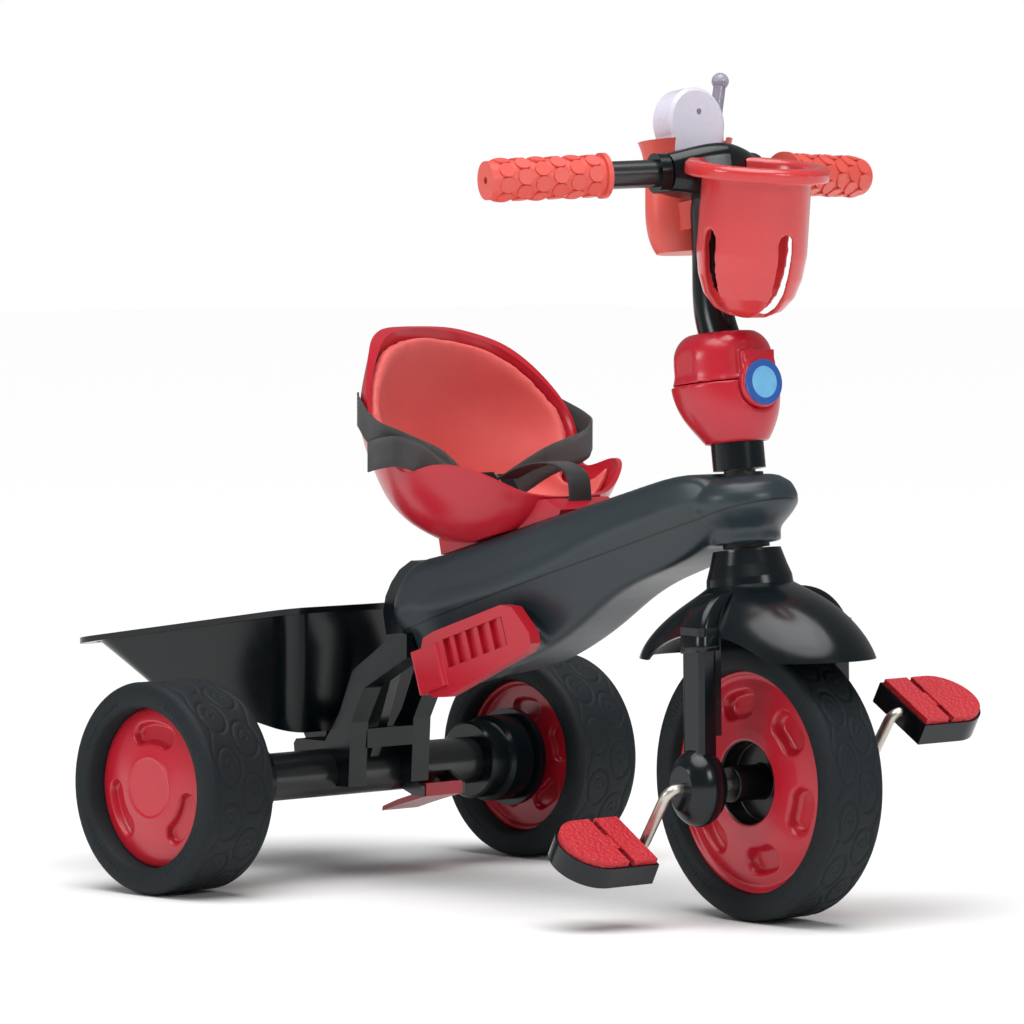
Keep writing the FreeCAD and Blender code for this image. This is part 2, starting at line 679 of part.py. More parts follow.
def nose_drum(inset):
    outline = [(0, head_low + inset), (neck_radius - inset, head_low + inset),
               (neck_radius - inset, nose_low + inset), (nose_radius - inset - 6, nose_low + 10 + inset),
               (nose_radius - inset, nose_low + 18 + inset), (nose_radius - inset, nose_high - 17 - inset),
               (nose_radius - inset - 4, nose_high - 8 - inset), (nose_radius - 13, nose_high - 2 - inset),
               (nose_radius - 22, nose_high - inset), (0, nose_high - inset)]
    return column_still(turned_z(outline))


# The side latch lies on a flat boss that stands out from the narrowing belly on the rider's right.
boss_face = body_half_width + 1.0
latch_slope = radians(18.0)
latch_mid = V(196, 0, 206)
latch_slot_half = 34.0
latch_slot_high = 6.0
boss_outline = [(-58, -4), (-46, 16), (42, 16), (58, -8), (56, -16), (-22, -24), (-50, -22)]


def along_latch(shape):
    """Lay a piece drawn level about the origin along the latch's slope."""
    placed = shape.copy()
    placed.rotate(V(0, 0, 0), V(0, 1, 0), -degrees(latch_slope))
    placed.translate(latch_mid)
    return placed


boss = mirrored(along_latch(side_plate(boss_outline, (10, boss_face))))
boss_room = mirrored(along_latch(side_plate([(0.9 * px, 0.8 * pz) for px, pz in boss_outline],
                                            (5, boss_face - shell_wall))))
outer_body = joined([body_skin(0), nose_drum(0), boss])
inner_body = body_skin(shell_wall).fuse([nose_drum(shell_wall), boss_room])
shell = outer_body.cut(inner_body)
frame_room = joined([head_tube, spine, post])
shell = shell.cut(frame_room)
shell = shell.cut(column_still(rod((0, 0, nose_high - 15), (0, 0, nose_high + 30), head_radius)))
shell = shell.cut(column_still(rod((0, 0, head_low - 20), (0, 0, head_low + 10), head_radius)))
shell = shell.cut(group(both_sides(cheek)))

# The black tail cap closes the body's rear end and holds the push-handle socket.
socket_radius = 11.0
socket_wall = 3.5
socket_lean = radians(38.0)
socket_mouth = V(72, 0, 256)
socket_deep = 30.0
socket_way = V(-sin(socket_lean), 0, cos(socket_lean))
socket_floor = socket_mouth - socket_way * socket_deep
tail_outline = [(56, 206), (52, 224), (55, 238), (62, 250), (72, 261), (86, 269), (104, 268), (104, 214)]
tail_core = Part.makeCylinder(socket_radius + socket_wall, socket_deep + 2, socket_floor - socket_way * 3,
                              socket_way)
tail = side_plate(tail_outline, (-24, 24)).cut(outer_body)
tail = joined([tail, tail_core]).cut(frame_room).cut(group(both_sides(cheek)))
tail = max(tail.Solids, key=lambda solid: solid.Volume)
tail = tail.cut(Part.makeCylinder(socket_radius, 160, socket_floor, socket_way))
tail = max(tail.Solids, key=lambda solid: solid.Volume)
save("tail_cap", tail)
shell = shell.cut(tail_core)

# The channel along the top, between the seat and the column, that the seat slides in.
channel_half = 20.0
channel_deep = 11.0
channel_rear = 116.0
channel_front = 388.0
channel_wall = 2.5


def sloped_box(x, y, low, high):
    """A box that follows the slope of the body's top; heights are measured from it."""
    outline = [(x[0], body_top(x[0]) + low), (x[1], body_top(x[1]) + low),
               (x[1], body_top(x[1]) + high), (x[0], body_top(x[0]) + high)]
    return side_plate(outline, y)


channel_room = sloped_box((channel_rear, channel_front), (-channel_half, channel_half), -channel_deep, 30)
shell = shell.cut(channel_room)

# The parting line between the two halves of the body.
seam = [(60.0, 201.5), (88.0, 210.0), (372.0, 298.0), (wheelbase - 34, 320.0), (wheelbase + 3, 334.0),
        (wheelbase + 80, 338.0)]
above_seam = side_plate(seam + [(wheelbase + 80, 420), (60, 420)], (-80, 80))

# The slot for the latch's shank, and the scoop under the belly.
slot_room = along_latch(box((-latch_slot_half, latch_slot_half), (0, 80), (-latch_slot_high, latch_slot_high)))
shell = shell.cut(mirrored(slot_room))
scoop_outline = [(300, 226), (318, 246), (352, 268), (384, 276), (370, 262), (330, 236)]
scoop = side_plate(scoop_outline, (body_half_width - 16, body_half_width + 5))
shell = shell.cut(group(both_sides(scoop)))
upper = shell.common(above_seam)
lower = shell.cut(above_seam)
upper_shell = max(upper.Solids, key=lambda solid: solid.Volume)
lower_shell = max(lower.Solids, key=lambda solid: solid.Volume)
save("body_shell_upper", upper_shell)
save("body_shell_lower", lower_shell)

# The black liner of the channel.
liner = sloped_box((channel_rear, channel_front), (-channel_half, channel_half), -channel_deep, -0.5)
liner_room = sloped_box((channel_rear + channel_wall, channel_front - channel_wall),
                        (-channel_half + channel_wall, channel_half - channel_wall),
                        -channel_deep + channel_wall, 30)
column_hole = column_still(rod((0, 0, 200), (0, 0, 300), 24.0))
save("channel_liner", liner.cut(liner_room).cut(column_hole).cut(spine))

# Screws that hold the two halves together from below.
screw_radius = 2.5
screw_heads = []
for x in (150.0, 235.0):
    for sign in (-1, 1):
        low = 0
        for index in range(len(body_stations) - 1):
            here = body_stations[index]
            ahead = body_stations[index + 1]
            if here[0] <= x <= ahead[0]:
                low = here[1] + (ahead[1] - here[1]) * (x - here[0]) / (ahead[0] - here[0])
        head = rod((x, sign * 22, low - 1.2), (x, sign * 22, low + 4), 4.5)
        screw_heads.append(head.cut(lower_shell))
save("body_screws", group([max(s.Solids, key=lambda solid: solid.Volume) for s in screw_heads]))

# ---- side latch ------------------------------------------------------------------------
latch_inner = boss_face + slide_gap
latch_outer = 62.0
latch_outline = [(-64, 2), (-52, 20), (-38, 22), (44, 22), (56, 17), (69, -8), (68, -17), (60, -22), (-22, -31),
                 (-40, -33), (-56, -29), (-66, -16)]
latch_knob = rounded_bar((-70, -34), (latch_inner, latch_outer + 3), (-24, 12), 5.0)
latch_window = box((-30, 42), (latch_outer - 5, latch_outer + 5), (-11, 13))
latch_shank = box((-latch_slot_half + 1.0, latch_slot_half - latch_travel - 1.0),
                  (boss_face - 12, latch_inner + 2), (-latch_slot_high + slide_gap,
                                                         latch_slot_high - slide_gap))
latch_keeper = box((-latch_slot_half + 1.0, latch_slot_half - latch_travel - 1.0),
                   (boss_face - shell_wall - 4, boss_face - shell_wall - slide_gap),
                   (-latch_slot_high - 4, latch_slot_high + 4))
latch_plate = side_plate(latch_outline, (latch_inner, latch_outer))
latch_ribs = []
latch_rib_count = 5
for step in range(latch_rib_count):
    middle = -30 + (step + 0.5) * 72 / latch_rib_count + 3
    latch_ribs.append(box((middle - 2.5, middle + 2.5), (latch_outer - 5.1, latch_outer - 1), (-11.5, 13.5)))
latch = joined([latch_plate.cut(latch_window), latch_knob, latch_shank, latch_keeper] + latch_ribs)
save("side_latch", mirrored(along_latch(latch)))

# ---- seat ----------------------------------------------------------------------------------
seat_wall = 4.0
pad_thick = 8.0
seat_floor = 305.0
pedestal_half = 36.0
pedestal_rear = 135.0
pedestal_front = 272.0
bowl = [(288.0, 50.0, 44.0), (305.0, 74.0, 76.0), (324.0, 90.0, 93.0), (348.0, 99.0, 106.0),
        (372.0, 104.0, seat_half_width - 3), (405.0, 106.0, seat_half_width - 1),
        (seat_back_top + 12, 106.0, seat_half_width - 2)]
bowl_middle = 165.0


def bowl_solid(inset, lift):
    wires = []
    for z, half_x, half_y in bowl:
        if z < seat_floor - 1 and inset > 0:
            continue
        height = z + lift if z < seat_floor + 1 else z
        wires.append(ellipse_wire(V(bowl_middle, 0, height), half_x - inset, half_y - inset))
    return loft(wires)


rim_line = [(40.0, seat_back_top - 1), (58.0, seat_back_top - 2), (66.0, seat_back_top - 3),
            (75.0, seat_back_top - 7), (91.0, 448.5), (106.0, 433.5), (121.0, 411.5), (138.0, 382.0),
            (149.0, 360.0), (160.0, 348.0),
            (178.0, 349.0), (200.0, 354.0), (221.0, 350.0), (235.0, 340.0), (246.0, 330.0), (264.0, 326.0),
            (290.0, 318.0)]


def above_rim(drop):
    """All the space over the seat's rim, which is one curve seen from the side."""
    curve = Part.BSplineCurve()
    curve.interpolate([V(x, -160, z - drop) for x, z in rim_line])
    first = rim_line[0]
    last = rim_line[-1]
    edges = [curve.toShape(), Part.makeLine(V(last[0], -160, last[1] - drop), V(last[0], -160, 560)),
             Part.makeLine(V(last[0], -160, 560), V(first[0], -160, 560)),
             Part.makeLine(V(first[0], -160, 560), V(first[0], -160, first[1] - drop))]
    return Part.Face(Part.Wire(edges)).extrude(V(0, 320, 0))


rim_cut = above_rim(0.0)
seat_bowl = bowl_solid(0.0, 0.0).cut(bowl_solid(seat_wall, seat_wall)).cut(rim_cut)
seat_lift = 0.6
pedestal_outline = [(pedestal_rear, body_top(pedestal_rear)), (pedestal_front, body_top(pedestal_front)),
                    (pedestal_front + 2, 318),
                    (pedestal_front - 16, 326), (pedestal_rear - 8, 312)]
pedestal = side_plate(pedestal_outline, (-pedestal_half, pedestal_half))
pedestal = pedestal.cut(bowl_solid(seat_wall, seat_wall)).cut(rim_cut)
seat_shell = joined([seat_bowl, pedestal]).cut(sloped_box((0, 400), (-150, 150), -150, seat_lift))
strap_slot = box((pedestal_front - 13.3, pedestal_front - 10.7), (-13, 13), (300, 345))
seat_shell = max(seat_shell.cut(strap_slot).Solids, key=lambda solid: solid.Volume)
save("seat_shell", seat_shell)

# The carriage: a foot under the seat that runs in the channel.
foot = sloped_box((pedestal_rear + 8, pedestal_front - 60), (-channel_half + channel_wall + slide_gap,
                                                             channel_half - channel_wall - slide_gap),
                  -channel_deep + channel_wall + slide_gap, seat_lift)
save("seat_carriage", foot)

# The soft liner.
pad_front = 205.0
pad_outer = bowl_solid(seat_wall + soft_gap, seat_wall + soft_gap)
pad_inner = bowl_solid(seat_wall + soft_gap + pad_thick, seat_wall + soft_gap + pad_thick)
pad = pad_outer.cut(pad_inner).cut(above_rim(3.0)).cut(box((pad_front, 400), (-200, 200), (200, 600)))
pad = pad.cut(box((150.0, 400), (-200, -seat_half_width + 32), (330, 600)))
pad = pad.cut(box((150.0, 400), (seat_half_width - 32, 200), (330, 600)))
save("seat_pad", max(pad.Solids, key=lambda solid: solid.Volume))

# ---- harness ---------------------------------------------------------------------------------
strap_width = 25.0
strap_thick = 1.6
buckle_at = V(184, -22, 332)
buckle_tilt = 40.0
buckle_half = 13.0
upright = (0, 0, 1)


def beside_seat(x, off):
    """How far out from the middle the seat's outer wall is at x, plus a distance."""
    reach = (x - bowl_middle) / 106.0
    return seat_half_width * sqrt(1 - reach * reach) + off


def waist_strap(side, end):
    """Along the outside of the shell, over the dip in its rim and in to the buckle."""
    stations = []
    for x, off, z in ((98, 1.6, 398), (108, 2.2, 395), (120, 2.8, 391), (132, 3.4, 385), (144, 3.0, 379)):
        stations.append(((x, side * beside_seat(x, off), z), upright, (-0.45, side * 0.9, 0)))
    stations += [((154, side * beside_seat(154, 0.0), 374), upright, (0.3, side * 0.95, 0)),
                 ((161, side * 112, 370), upright, (0.9, side * 0.5, 0)),
                 ((168, side * 96, 363), (-0.1, 0, 1), (0.95, side * 0.3, 0.1)),
                 ((175, (side * 96 + end.y) / 2, 352), (-0.2, 0, 1), (0.95, side * 0.25, 0.2)),
                 ((end.x, end.y, end.z), (-0.5, 0, 0.85), (0.85, side * 0.2, 0.5))]
    return ribbon(stations, strap_width, strap_thick)


def strap_tail(end):
    """The spare end of the strap, which leaves the buckle and lies over the rim."""
    stations = [((end.x + 2, end.y - 1, end.z - 6), (-0.5, 0, 0.85), (0.85, -0.2, 0.5)),
                ((180, -72, 343), (-0.2, 0, 1), (0.95, -0.25, 0.2)),
                ((177, -100, 358), upright, (0.9, -0.4, 0)),
                ((171, -118, 364), upright, (0.6, -0.8, 0)),
                ((160, -124.5, 363), upright, (0.1, -1, 0)),
                ((149, -124, 361), upright, (-0.25, -1, 0)),
                ((138, -120.5, 359), upright, (-0.4, -0.9, 0))]
    return ribbon(stations, strap_width, strap_thick)


right_end = V(buckle_at.x - 4, buckle_at.y - 23.5, buckle_at.z + 2)
left_end = V(buckle_at.x - 4, buckle_at.y + 23.5, buckle_at.z + 2)
right_strap = waist_strap(-1, right_end)
tail_strap = strap_tail(right_end)
tail_strap = max(tail_strap.cut([right_strap, seat_shell]).Solids, key=lambda solid: solid.Volume)
save("waist_strap_right", group([right_strap, tail_strap]))
save("waist_strap_left", waist_strap(1, left_end))
buckle_frame = FreeCAD.Placement(buckle_at, FreeCAD.Rotation(V(0, 1, 0), -buckle_tilt))


def buckled(shape):
    placed = shape.copy()
    placed.Placement = buckle_frame.multiply(placed.Placement)
    return placed


buckle_body = buckled(rounded_bar((-5, 5), (-23, 5), (-buckle_half, buckle_half), 3.0))
buckle_tongue = buckled(rounded_bar((-4, 4), (5, 23), (-buckle_half + 1.5, buckle_half - 1.5), 2.5))
strap_x = pedestal_front - 12
crotch = ribbon([((strap_x, 0, 306), (0, 1, 0), (1, 0, 0)), ((strap_x, 0, 332), (0, 1, 0), (1, 0, 0)),
                 ((strap_x - 4, 0, 345), (0, 1, 0), (0.8, 0, 0.5)), ((strap_x - 14, -2, 352), (0, 1, 0), (0.4, 0, 0.9)),
                 ((strap_x - 28, -6, 354), (0, 1, 0), (0, 0, 1)), ((214, -12, 350), (0, 1, 0), (-0.3, 0, 1)),
                 ((194, -18, 340.5), (0, 1, 0), (-0.5, 0, 1))], strap_width, strap_thick)
save("crotch_strap", crotch)
buckle_rooms = group([right_strap, tail_strap, crotch])
save("buckle_body", max(buckle_body.cut(buckle_rooms).Solids, key=lambda solid: solid.Volume))
save("buckle_tongue", max(buckle_tongue.cut(waist_strap(1, left_end)).cut(crotch).Solids,
                          key=lambda solid: solid.Volume))

# ---- tray ---------------------------------------------------------------------------------------
tray_front_top = 24.0
tray_front_low = -8.0
tray_rim_rear = 195.0
tray_rim_front = 230.0
tray_floor_rear = 163.0
tray_floor_front = 122.0
tray_rear_half = 158.0
tray_front_half = 104.0
tray_wall = 3.0
tray_corner = 28.0
tray_lip_thick = 5.0


def tray_wire(rear, front, rear_half, front_half, rear_z, front_z, radius):
    """A tapered outline with rounded corners, lying in a plane that tilts fore and aft."""
    corners = [(rear, rear_half, rear_z), (front, front_half, front_z), (front, -front_half, front_z),
               (rear, -rear_half, rear_z)]
    return rounded_polygon(corners, [radius] * 4)


def tray_tub(inset, floor_lift, over):
    rear_low = -tray_rear + 50 + inset
    top_tilt = (tray_rim_front - tray_rim_rear) / (tray_front_top + tray_rear)
    low = tray_wire(rear_low, tray_front_low - inset, tray_rear_half - 34 - inset, 74 - inset,
                    tray_floor_rear + floor_lift, tray_floor_front + floor_lift, 26 - inset)
    high = tray_wire(-tray_rear + 12 + inset, tray_front_top - 6 - inset, tray_rear_half - 8 - inset,
                     tray_front_half - 8 - inset, tray_rim_rear + over + 12 * top_tilt,
                     tray_rim_front + over - 6 * top_tilt, tray_corner - 4 - inset)
    return loft([low, high], True)


tub = tray_tub(0.0, 0.0, 0.0).cut(tray_tub(tray_wall, tray_wall, 0.05))
lip_low = tray_wire(-tray_rear, tray_front_top, tray_rear_half, tray_front_half, tray_rim_rear - tray_lip_thick,
                    tray_rim_front - tray_lip_thick, tray_corner)
lip_high = tray_wire(-tray_rear, tray_front_top, tray_rear_half, tray_front_half, tray_rim_rear,
                     tray_rim_front, tray_corner)
lip = loft([lip_low, lip_high], True).cut(tray_tub(0.0, 0.0, 1.0))
lip_open = loft([tray_wire(-tray_rear + 15, tray_front_top - 9, tray_rear_half - 11, tray_front_half - 11,
                           tray_rim_rear - 30, tray_rim_front - 30, tray_corner - 8),
                 tray_wire(-tray_rear + 15, tray_front_top - 9, tray_rear_half - 11, tray_front_half - 11,
                           tray_rim_rear + 30, tray_rim_front + 30, tray_corner - 8)], True)
lip = lip.cut(lip_open)
ears = []
ear_outline = [(tray_pin.x - 9, tray_pin.z - 5), (tray_pin.x + 5, tray_pin.z - 8), (tray_pin.x + 9, tray_pin.z),
               (-14, 134), (-62, 146), (-54, 132)]
ear = side_plate(ear_outline, (12, cheek_inner - slide_gap))
ear = ear.cut(rod((tray_pin.x, 0, tray_pin.z), (tray_pin.x, 60, tray_pin.z), tray_pin_radius + running_fit))
ear = ear.cut(tray_tub(tray_wall / 2, tray_wall / 2, 0.5))
tray = joined([tub, lip] + both_sides(ear))
tray = max(tray.Solids, key=lambda solid: solid.Volume)
save("tray", tray)

# ---- handlebar column and clamp --------------------------------------------------------------------
column_foot = 246.0
column_radius = 21.0
column_top = 345.0
bowl_low = 267.0
bowl_high = 315.0
clamp_low = 315.4
clamp_shelf = 332.0
clamp_high = 355.0
clamp_back = 8.0
clamp_half_x = 39.0
clamp_half_y = 40.0
clamp_wall = 3.0
mast_back = 13.5
mast_half_x = 16.0
mast_half_y = 14.0

lower_column = turned_z([(steerer_radius, column_foot), (column_radius, column_foot),
                         (column_radius, column_top), (steerer_radius, column_top)])


def oval(height, back, half_x, half_y):
    return ellipse_wire(V(-back, 0, height), half_x, half_y)


mast_stations = [(column_top - 6, 2.0, 18, 17), (clamp_high - 2, 9.0, 18, 15.5), (clamp_high + 14, mast_back, 17, 15),
                 (400, mast_back, mast_half_x, mast_half_y), (440, mast_back - 3, mast_half_x - 1, mast_half_y),
                 (bar_height - 14, 1.0, 14, 15)]
mast = loft([oval(*station) for station in mast_stations])
steerer_room = rod((0, 0, 100), (0, 0, steerer_top), steerer_radius)
column = joined([lower_column, mast]).cut(steerer_room)
save_steered("handlebar_column", raked(column))

# The lower bowl of the clamp is fixed to the column; the upper ring lifts to free it.
bowl_stations = [(bowl_low, 0.0, 25.0), (bowl_low + 6, 0.5, 29.0), (bowl_low + 18, 3.0, 36.0),
                 (bowl_low + 32, 6.0, 41.0), (bowl_high, clamp_back, 43.0)]
clamp_bowl = loft([oval(z, back, half, half - 0.01) for z, back, half in bowl_stations])
clamp_bowl = clamp_bowl.cut(rod((0, 0, 0), (0, 0, 500), column_radius))

ring_bore = column_radius + running_fit
badge_height = clamp_low - 4.0
badge_radius = 18.0
badge_plane = clamp_half_x - clamp_back + 7.0
badge_back = 31.5
ring_stations = [(clamp_low, clamp_back, clamp_half_x + 3, clamp_half_y + 2),
                 (clamp_low + 6, clamp_back, clamp_half_x, clamp_half_y),
                 (clamp_high - 16, clamp_back, clamp_half_x - 1, clamp_half_y - 1),
                 (clamp_high - 5, clamp_back, clamp_half_x - 6, clamp_half_y - 7),
                 (clamp_high, clamp_back, clamp_half_x - 13, clamp_half_y - 15)]
clamp_ring = loft([oval(*station) for station in ring_stations])
badge_pad = rod((badge_back, 0, badge_height), (badge_plane, 0, badge_height), badge_radius + 2)
badge_tongue = box((badge_back, badge_plane - 2), (-badge_radius + 1, badge_radius - 1),
                   (badge_height, clamp_low + 22))
badge_pad = badge_pad.fuse([badge_tongue, box((clamp_half_x - clamp_back - 9, badge_plane - 2), (-14, 14),
                                              (clamp_low + 0.5, clamp_low + 22))])
cavity = loft([oval(clamp_shelf, clamp_back, clamp_half_x - 6, clamp_half_y - 6),
               oval(clamp_high - 14, clamp_back, clamp_half_x - 7, clamp_half_y - 7),
               oval(clamp_high - 4, clamp_back, clamp_half_x - 13, clamp_half_y - 14)])
mast_hole = loft([oval(clamp_high - 10, 11.0, 21, 18), oval(clamp_high + 5, 11.0, 21, 18)])
clamp_ring = joined([clamp_ring, badge_pad]).cut(rod((0, 0, 0), (0, 0, clamp_shelf + 5), ring_bore))
clamp_ring = clamp_ring.cut(cavity).cut(mast_hole)
side_recess = box((-clamp_back - 15, -clamp_back + 9), (clamp_half_y - 3, clamp_half_y + 10),
                  (clamp_low + 3, clamp_high))
clamp_ring = clamp_ring.cut(group(both_sides(side_recess)))
clamp_ring = max(clamp_ring.Solids, key=lambda solid: solid.Volume)
save_steered("clamp_ring", raked(clamp_ring))
badge_room = rod((badge_back - slide_gap, 0, badge_height), (80, 0, badge_height), badge_radius + 2 + slide_gap)
badge_room = badge_room.fuse(box((badge_back - slide_gap, 80), (-badge_radius - 2.3, badge_radius + 2.3),
                                 (badge_height, clamp_high)))
save_steered("clamp_bowl", raked(clamp_bowl.cut(badge_room)))
emblem = rod((badge_plane, 0, badge_height), (badge_plane + 2, 0, badge_height), badge_radius)
save_steered("clamp_emblem", raked(emblem))

# ---- handlebar ---------------------------------------------------------------------------------------
bar_radius = 11.0
cover_half = 52.0
grip_radius = 15.2
grip_inner_share = 0.48
grip_flange = 18.0
bar_length = hypot(bar_half_width, bar_sweep_back)
bar_way = V(-bar_sweep_back, bar_half_width, 0).normalize()
bar_middle = V(0, 0, bar_height)


def along_bar(distance):
    return bar_middle + bar_way * distance


half_bar = rod(tuple(bar_middle), tuple(along_bar(bar_length - 3)), bar_radius)
bar_knee = Part.makeSphere(bar_radius, bar_middle)
handlebar = joined(both_sides(half_bar) + [bar_knee])
save_steered("handlebar_tube", raked(handlebar))

grip_start = along_bar(bar_length * grip_inner_share)
grip_end = along_bar(bar_length)
grip_body = Part.makeCylinder(grip_radius, (grip_end - grip_start).Length, grip_start, bar_way)
grip_disc = Part.makeCylinder(grip_flange, 4.0, grip_start, bar_way)
grip_room = Part.makeCylinder(bar_radius, bar_length - 3, bar_middle, bar_way)
grip_hole = Part.makeCylinder(3.0, 40, along_bar(bar_length - 10), bar_way)
grip = joined([grip_body, grip_disc]).cut(grip_room).cut(grip_hole)
tile_rows = 6
tile_ring = 8
tiles = []
for row in range(tile_rows):
    for step in range(tile_ring):
        turn = (step + 0.5 * (row % 2)) * 360.0 / tile_ring
        foot = along_bar(bar_length * grip_inner_share + 14 + row * 15.2)
        tile = Part.makeCylinder(6.2, 1.5, V(0, 0, grip_radius - 0.4), V(0, 0, 1))
        tile.rotate(V(0, 0, 0), V(0, 1, 0), turn)
        tile.rotate(V(0, 0, 0), V(0, 0, 1), degrees(atan2(bar_sweep_back, bar_half_width)))
        tile.translate(foot)
        tiles.append(tile)
grip = joined([grip] + tiles)
save_steered("grip_left", raked(grip))
save_steered("grip_right", raked(mirrored(grip)))

# The cover over the middle of the bar, arched on top, with a collar at each end.
bar_line = joined(both_sides(rod(tuple(bar_middle), tuple(along_bar(bar_length)), bar_radius)) + [bar_knee])


def cover_section(distance, fore, aft, up, down, radius):
    spot = along_bar(distance)
    middle = spot + V((fore - aft) / 2, 0, (up - down) / 2)
    return rounded_wire(middle, V(1, 0, 0), V(0, 0, 1), (fore + aft) / 2, (up + down) / 2, radius)


cover_half_loft = [cover_section(0, 24, 22, 21, 22, 12), cover_section(16, 23, 21, 20, 21, 12),
                   cover_section(32, 20, 18, 17, 18, 11), cover_section(44, 16, 16, 14.5, 15, 11)]
cover_arm = loft(cover_half_loft)
cover_end = Part.makeCylinder(16.0, 9.0, along_bar(42), bar_way)
cover = joined(both_sides(cover_arm) + both_sides(cover_end)).cut(bar_line).cut(column)
cover = max(cover.Solids, key=lambda solid: solid.Volume)
save_steered("handlebar_cover", raked(cover))

# ---- front bucket ---------------------------------------------------------------------------------------
bucket_ahead = 55.0
bucket_tilt = 14.0
bucket_top = bar_height - 4.0
bucket_depth = 118.0
bucket_radius = 43.0
bucket_wall = 2.6
bucket_rim = 57.0
bucket_slots = 4


def bucket_profile(inset):
    low = -bucket_depth + inset
    return [(0, low), (14, low), (27 - inset, low + 6), (36 - inset, low + 17), (41 - inset, low + 32),
            (bucket_radius + 0.5 - inset, low + 50), (bucket_radius - inset, -10), (bucket_radius + 2 - inset, 0),
            (0, 0)]


bucket_cup = turned_z(bucket_profile(0.0))
bucket_room = turned_z([(r, z + (0.01 if z == 0 else 0)) for r, z in bucket_profile(bucket_wall)])
rim_ring = turned_z([(bucket_radius - 0.6, -3), (bucket_radius + 4, -1), (bucket_rim - 2, -9),
                     (bucket_rim, -8), (bucket_rim, 0), (bucket_rim - 3, 3), (bucket_radius + 2, 3),
                     (bucket_radius - 0.6, 0)])
bucket = joined([bucket_cup.cut(bucket_room), rim_ring])
for step in range(bucket_slots):
    turn = step * 360.0 / bucket_slots - 2.0
    cutter = box((12, 70), (-6.5, 6.5), (-bucket_depth - 5, -bucket_depth + 62))
    cutter = cutter.fuse(rod((12, 0, -bucket_depth + 62), (70, 0, -bucket_depth + 62), 6.5))
    cutter.rotate(V(0, 0, 0), V(0, 0, 1), turn)
    bucket = bucket.cut(cutter)


def at_bucket(shape):
    placed = shape.copy()
    placed.rotate(V(0, 0, 0), V(0, 1, 0), bucket_tilt)
    placed.translate(V(bucket_ahead, 0, bucket_top))
    return placed


bucket = at_bucket(bucket)
bucket_hook = box((20, 30), (-8, 8), (bar_height - 12, bar_height + 3))
bucket = joined([bucket, bucket_hook.cut(cover)])
bucket = max(bucket.Solids, key=lambda solid: solid.Volume).cut(cover).cut(column)
bucket = max(bucket.Solids, key=lambda solid: solid.Volume)
save_steered("front_bucket", raked(bucket))

# ---- phone holder and toy phone ------------------------------------------------------------------------------
holder_back = 50.0
holder_half_x = 23.0
holder_half_y = 40.0
holder_low = 424.0
holder_high = 480.0
holder_wall = 2.5
holder_ear = 514.0
holder_side = 17.0


def holder_solid(inset, low, high):
    stations = [(low, -3.0), (low + 6, 0.0), (holder_high, 1.0), (high, 4.0)]
    wires = [ellipse_wire(V(-holder_back, holder_side, z), holder_half_x + grow - inset,
                          holder_half_y + grow - inset) for z, grow in stations]
    return loft(wires)


holder = holder_solid(0.0, holder_low, holder_ear)
holder = holder.cut(holder_solid(holder_wall, holder_low + holder_wall, holder_ear + 0.1))
ear_dip = box((-holder_back - 60, -holder_back + 60), (holder_side - 27, holder_side + 27),
              (holder_high, holder_ear + 20))
holder = holder.cut(ear_dip)
holder_arm = box((-holder_back + 18, -14), (-12, 12), (440, 462))
holder = joined([holder, holder_arm.cut(holder_solid(1.0, holder_low, holder_ear))]).cut(column).cut(cover)
holder = max(holder.Solids, key=lambda solid: solid.Volume)
save_steered("phone_holder", raked(holder))

phone_half_x = 12.0
phone_half_y = 27.0
phone_low = holder_low + holder_wall + 0.4
phone_dome = 556.0
phone_split = 1.0


def phone_outline(inset, x):
    """The handset's face: straight sides with a domed top."""
    half = phone_half_y - inset
    low = phone_low + inset
    shoulder = 518.0
    edges = [Part.makeLine(V(x, -half + 4, low), V(x, half - 4, low)),
             Part.makeLine(V(x, half - 4, low), V(x, half, shoulder)),
             Part.Arc(V(x, half, shoulder), V(x, 0, phone_dome - inset), V(x, -half, shoulder)).toShape(),
             Part.makeLine(V(x, -half, shoulder), V(x, -half + 4, low))]
    return Part.Face(Part.Wire(edges))


phone_side = holder_side + 5.0
phone_shift = V(-holder_back, phone_side, 0)


def at_phone(shape):
    placed = shape.copy()
    placed.translate(phone_shift)
    return placed


front_half = phone_outline(0.0, 0).extrude(V(phone_half_x - 2, 0, 0))
back_half = phone_outline(0.0, 0).extrude(V(-phone_half_x + 2, 0, 0))
front_crown = loft([phone_outline(0.0, phone_half_x - 2).OuterWire, phone_outline(3.0, phone_half_x).OuterWire], True)
back_crown = loft([phone_outline(0.0, -phone_half_x + 2).OuterWire, phone_outline(3.0, -phone_half_x).OuterWire],
                  True)
phone_front = joined([front_half, front_crown])
phone_back = joined([back_half, back_crown])
phone_front = phone_front.cut(rod((phone_half_x - 5, 2, 536), (20, 2, 536), 2.6))
keypad = box((-phone_half_x - 1.2, -phone_half_x), (-18, 18), (phone_low + 30, 515))
save_steered("phone_front_shell", raked(at_phone(phone_front)))
save_steered("phone_back_shell", raked(at_phone(phone_back)))
save_steered("phone_keypad", raked(at_phone(keypad)))
antenna_foot = V(0, phone_half_y - 4, 512)
antenna_tip = V(0, phone_half_y + 10, 562)
antenna = joined([rod(tuple(antenna_foot), tuple(antenna_tip), 5.0), Part.makeSphere(7.0, antenna_tip)])
antenna = antenna.cut(phone_front).cut(phone_back)
antenna = max(antenna.Solids, key=lambda solid: solid.Volume)
save_steered("phone_antenna", raked(at_phone(antenna)))
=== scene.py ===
import json
import math

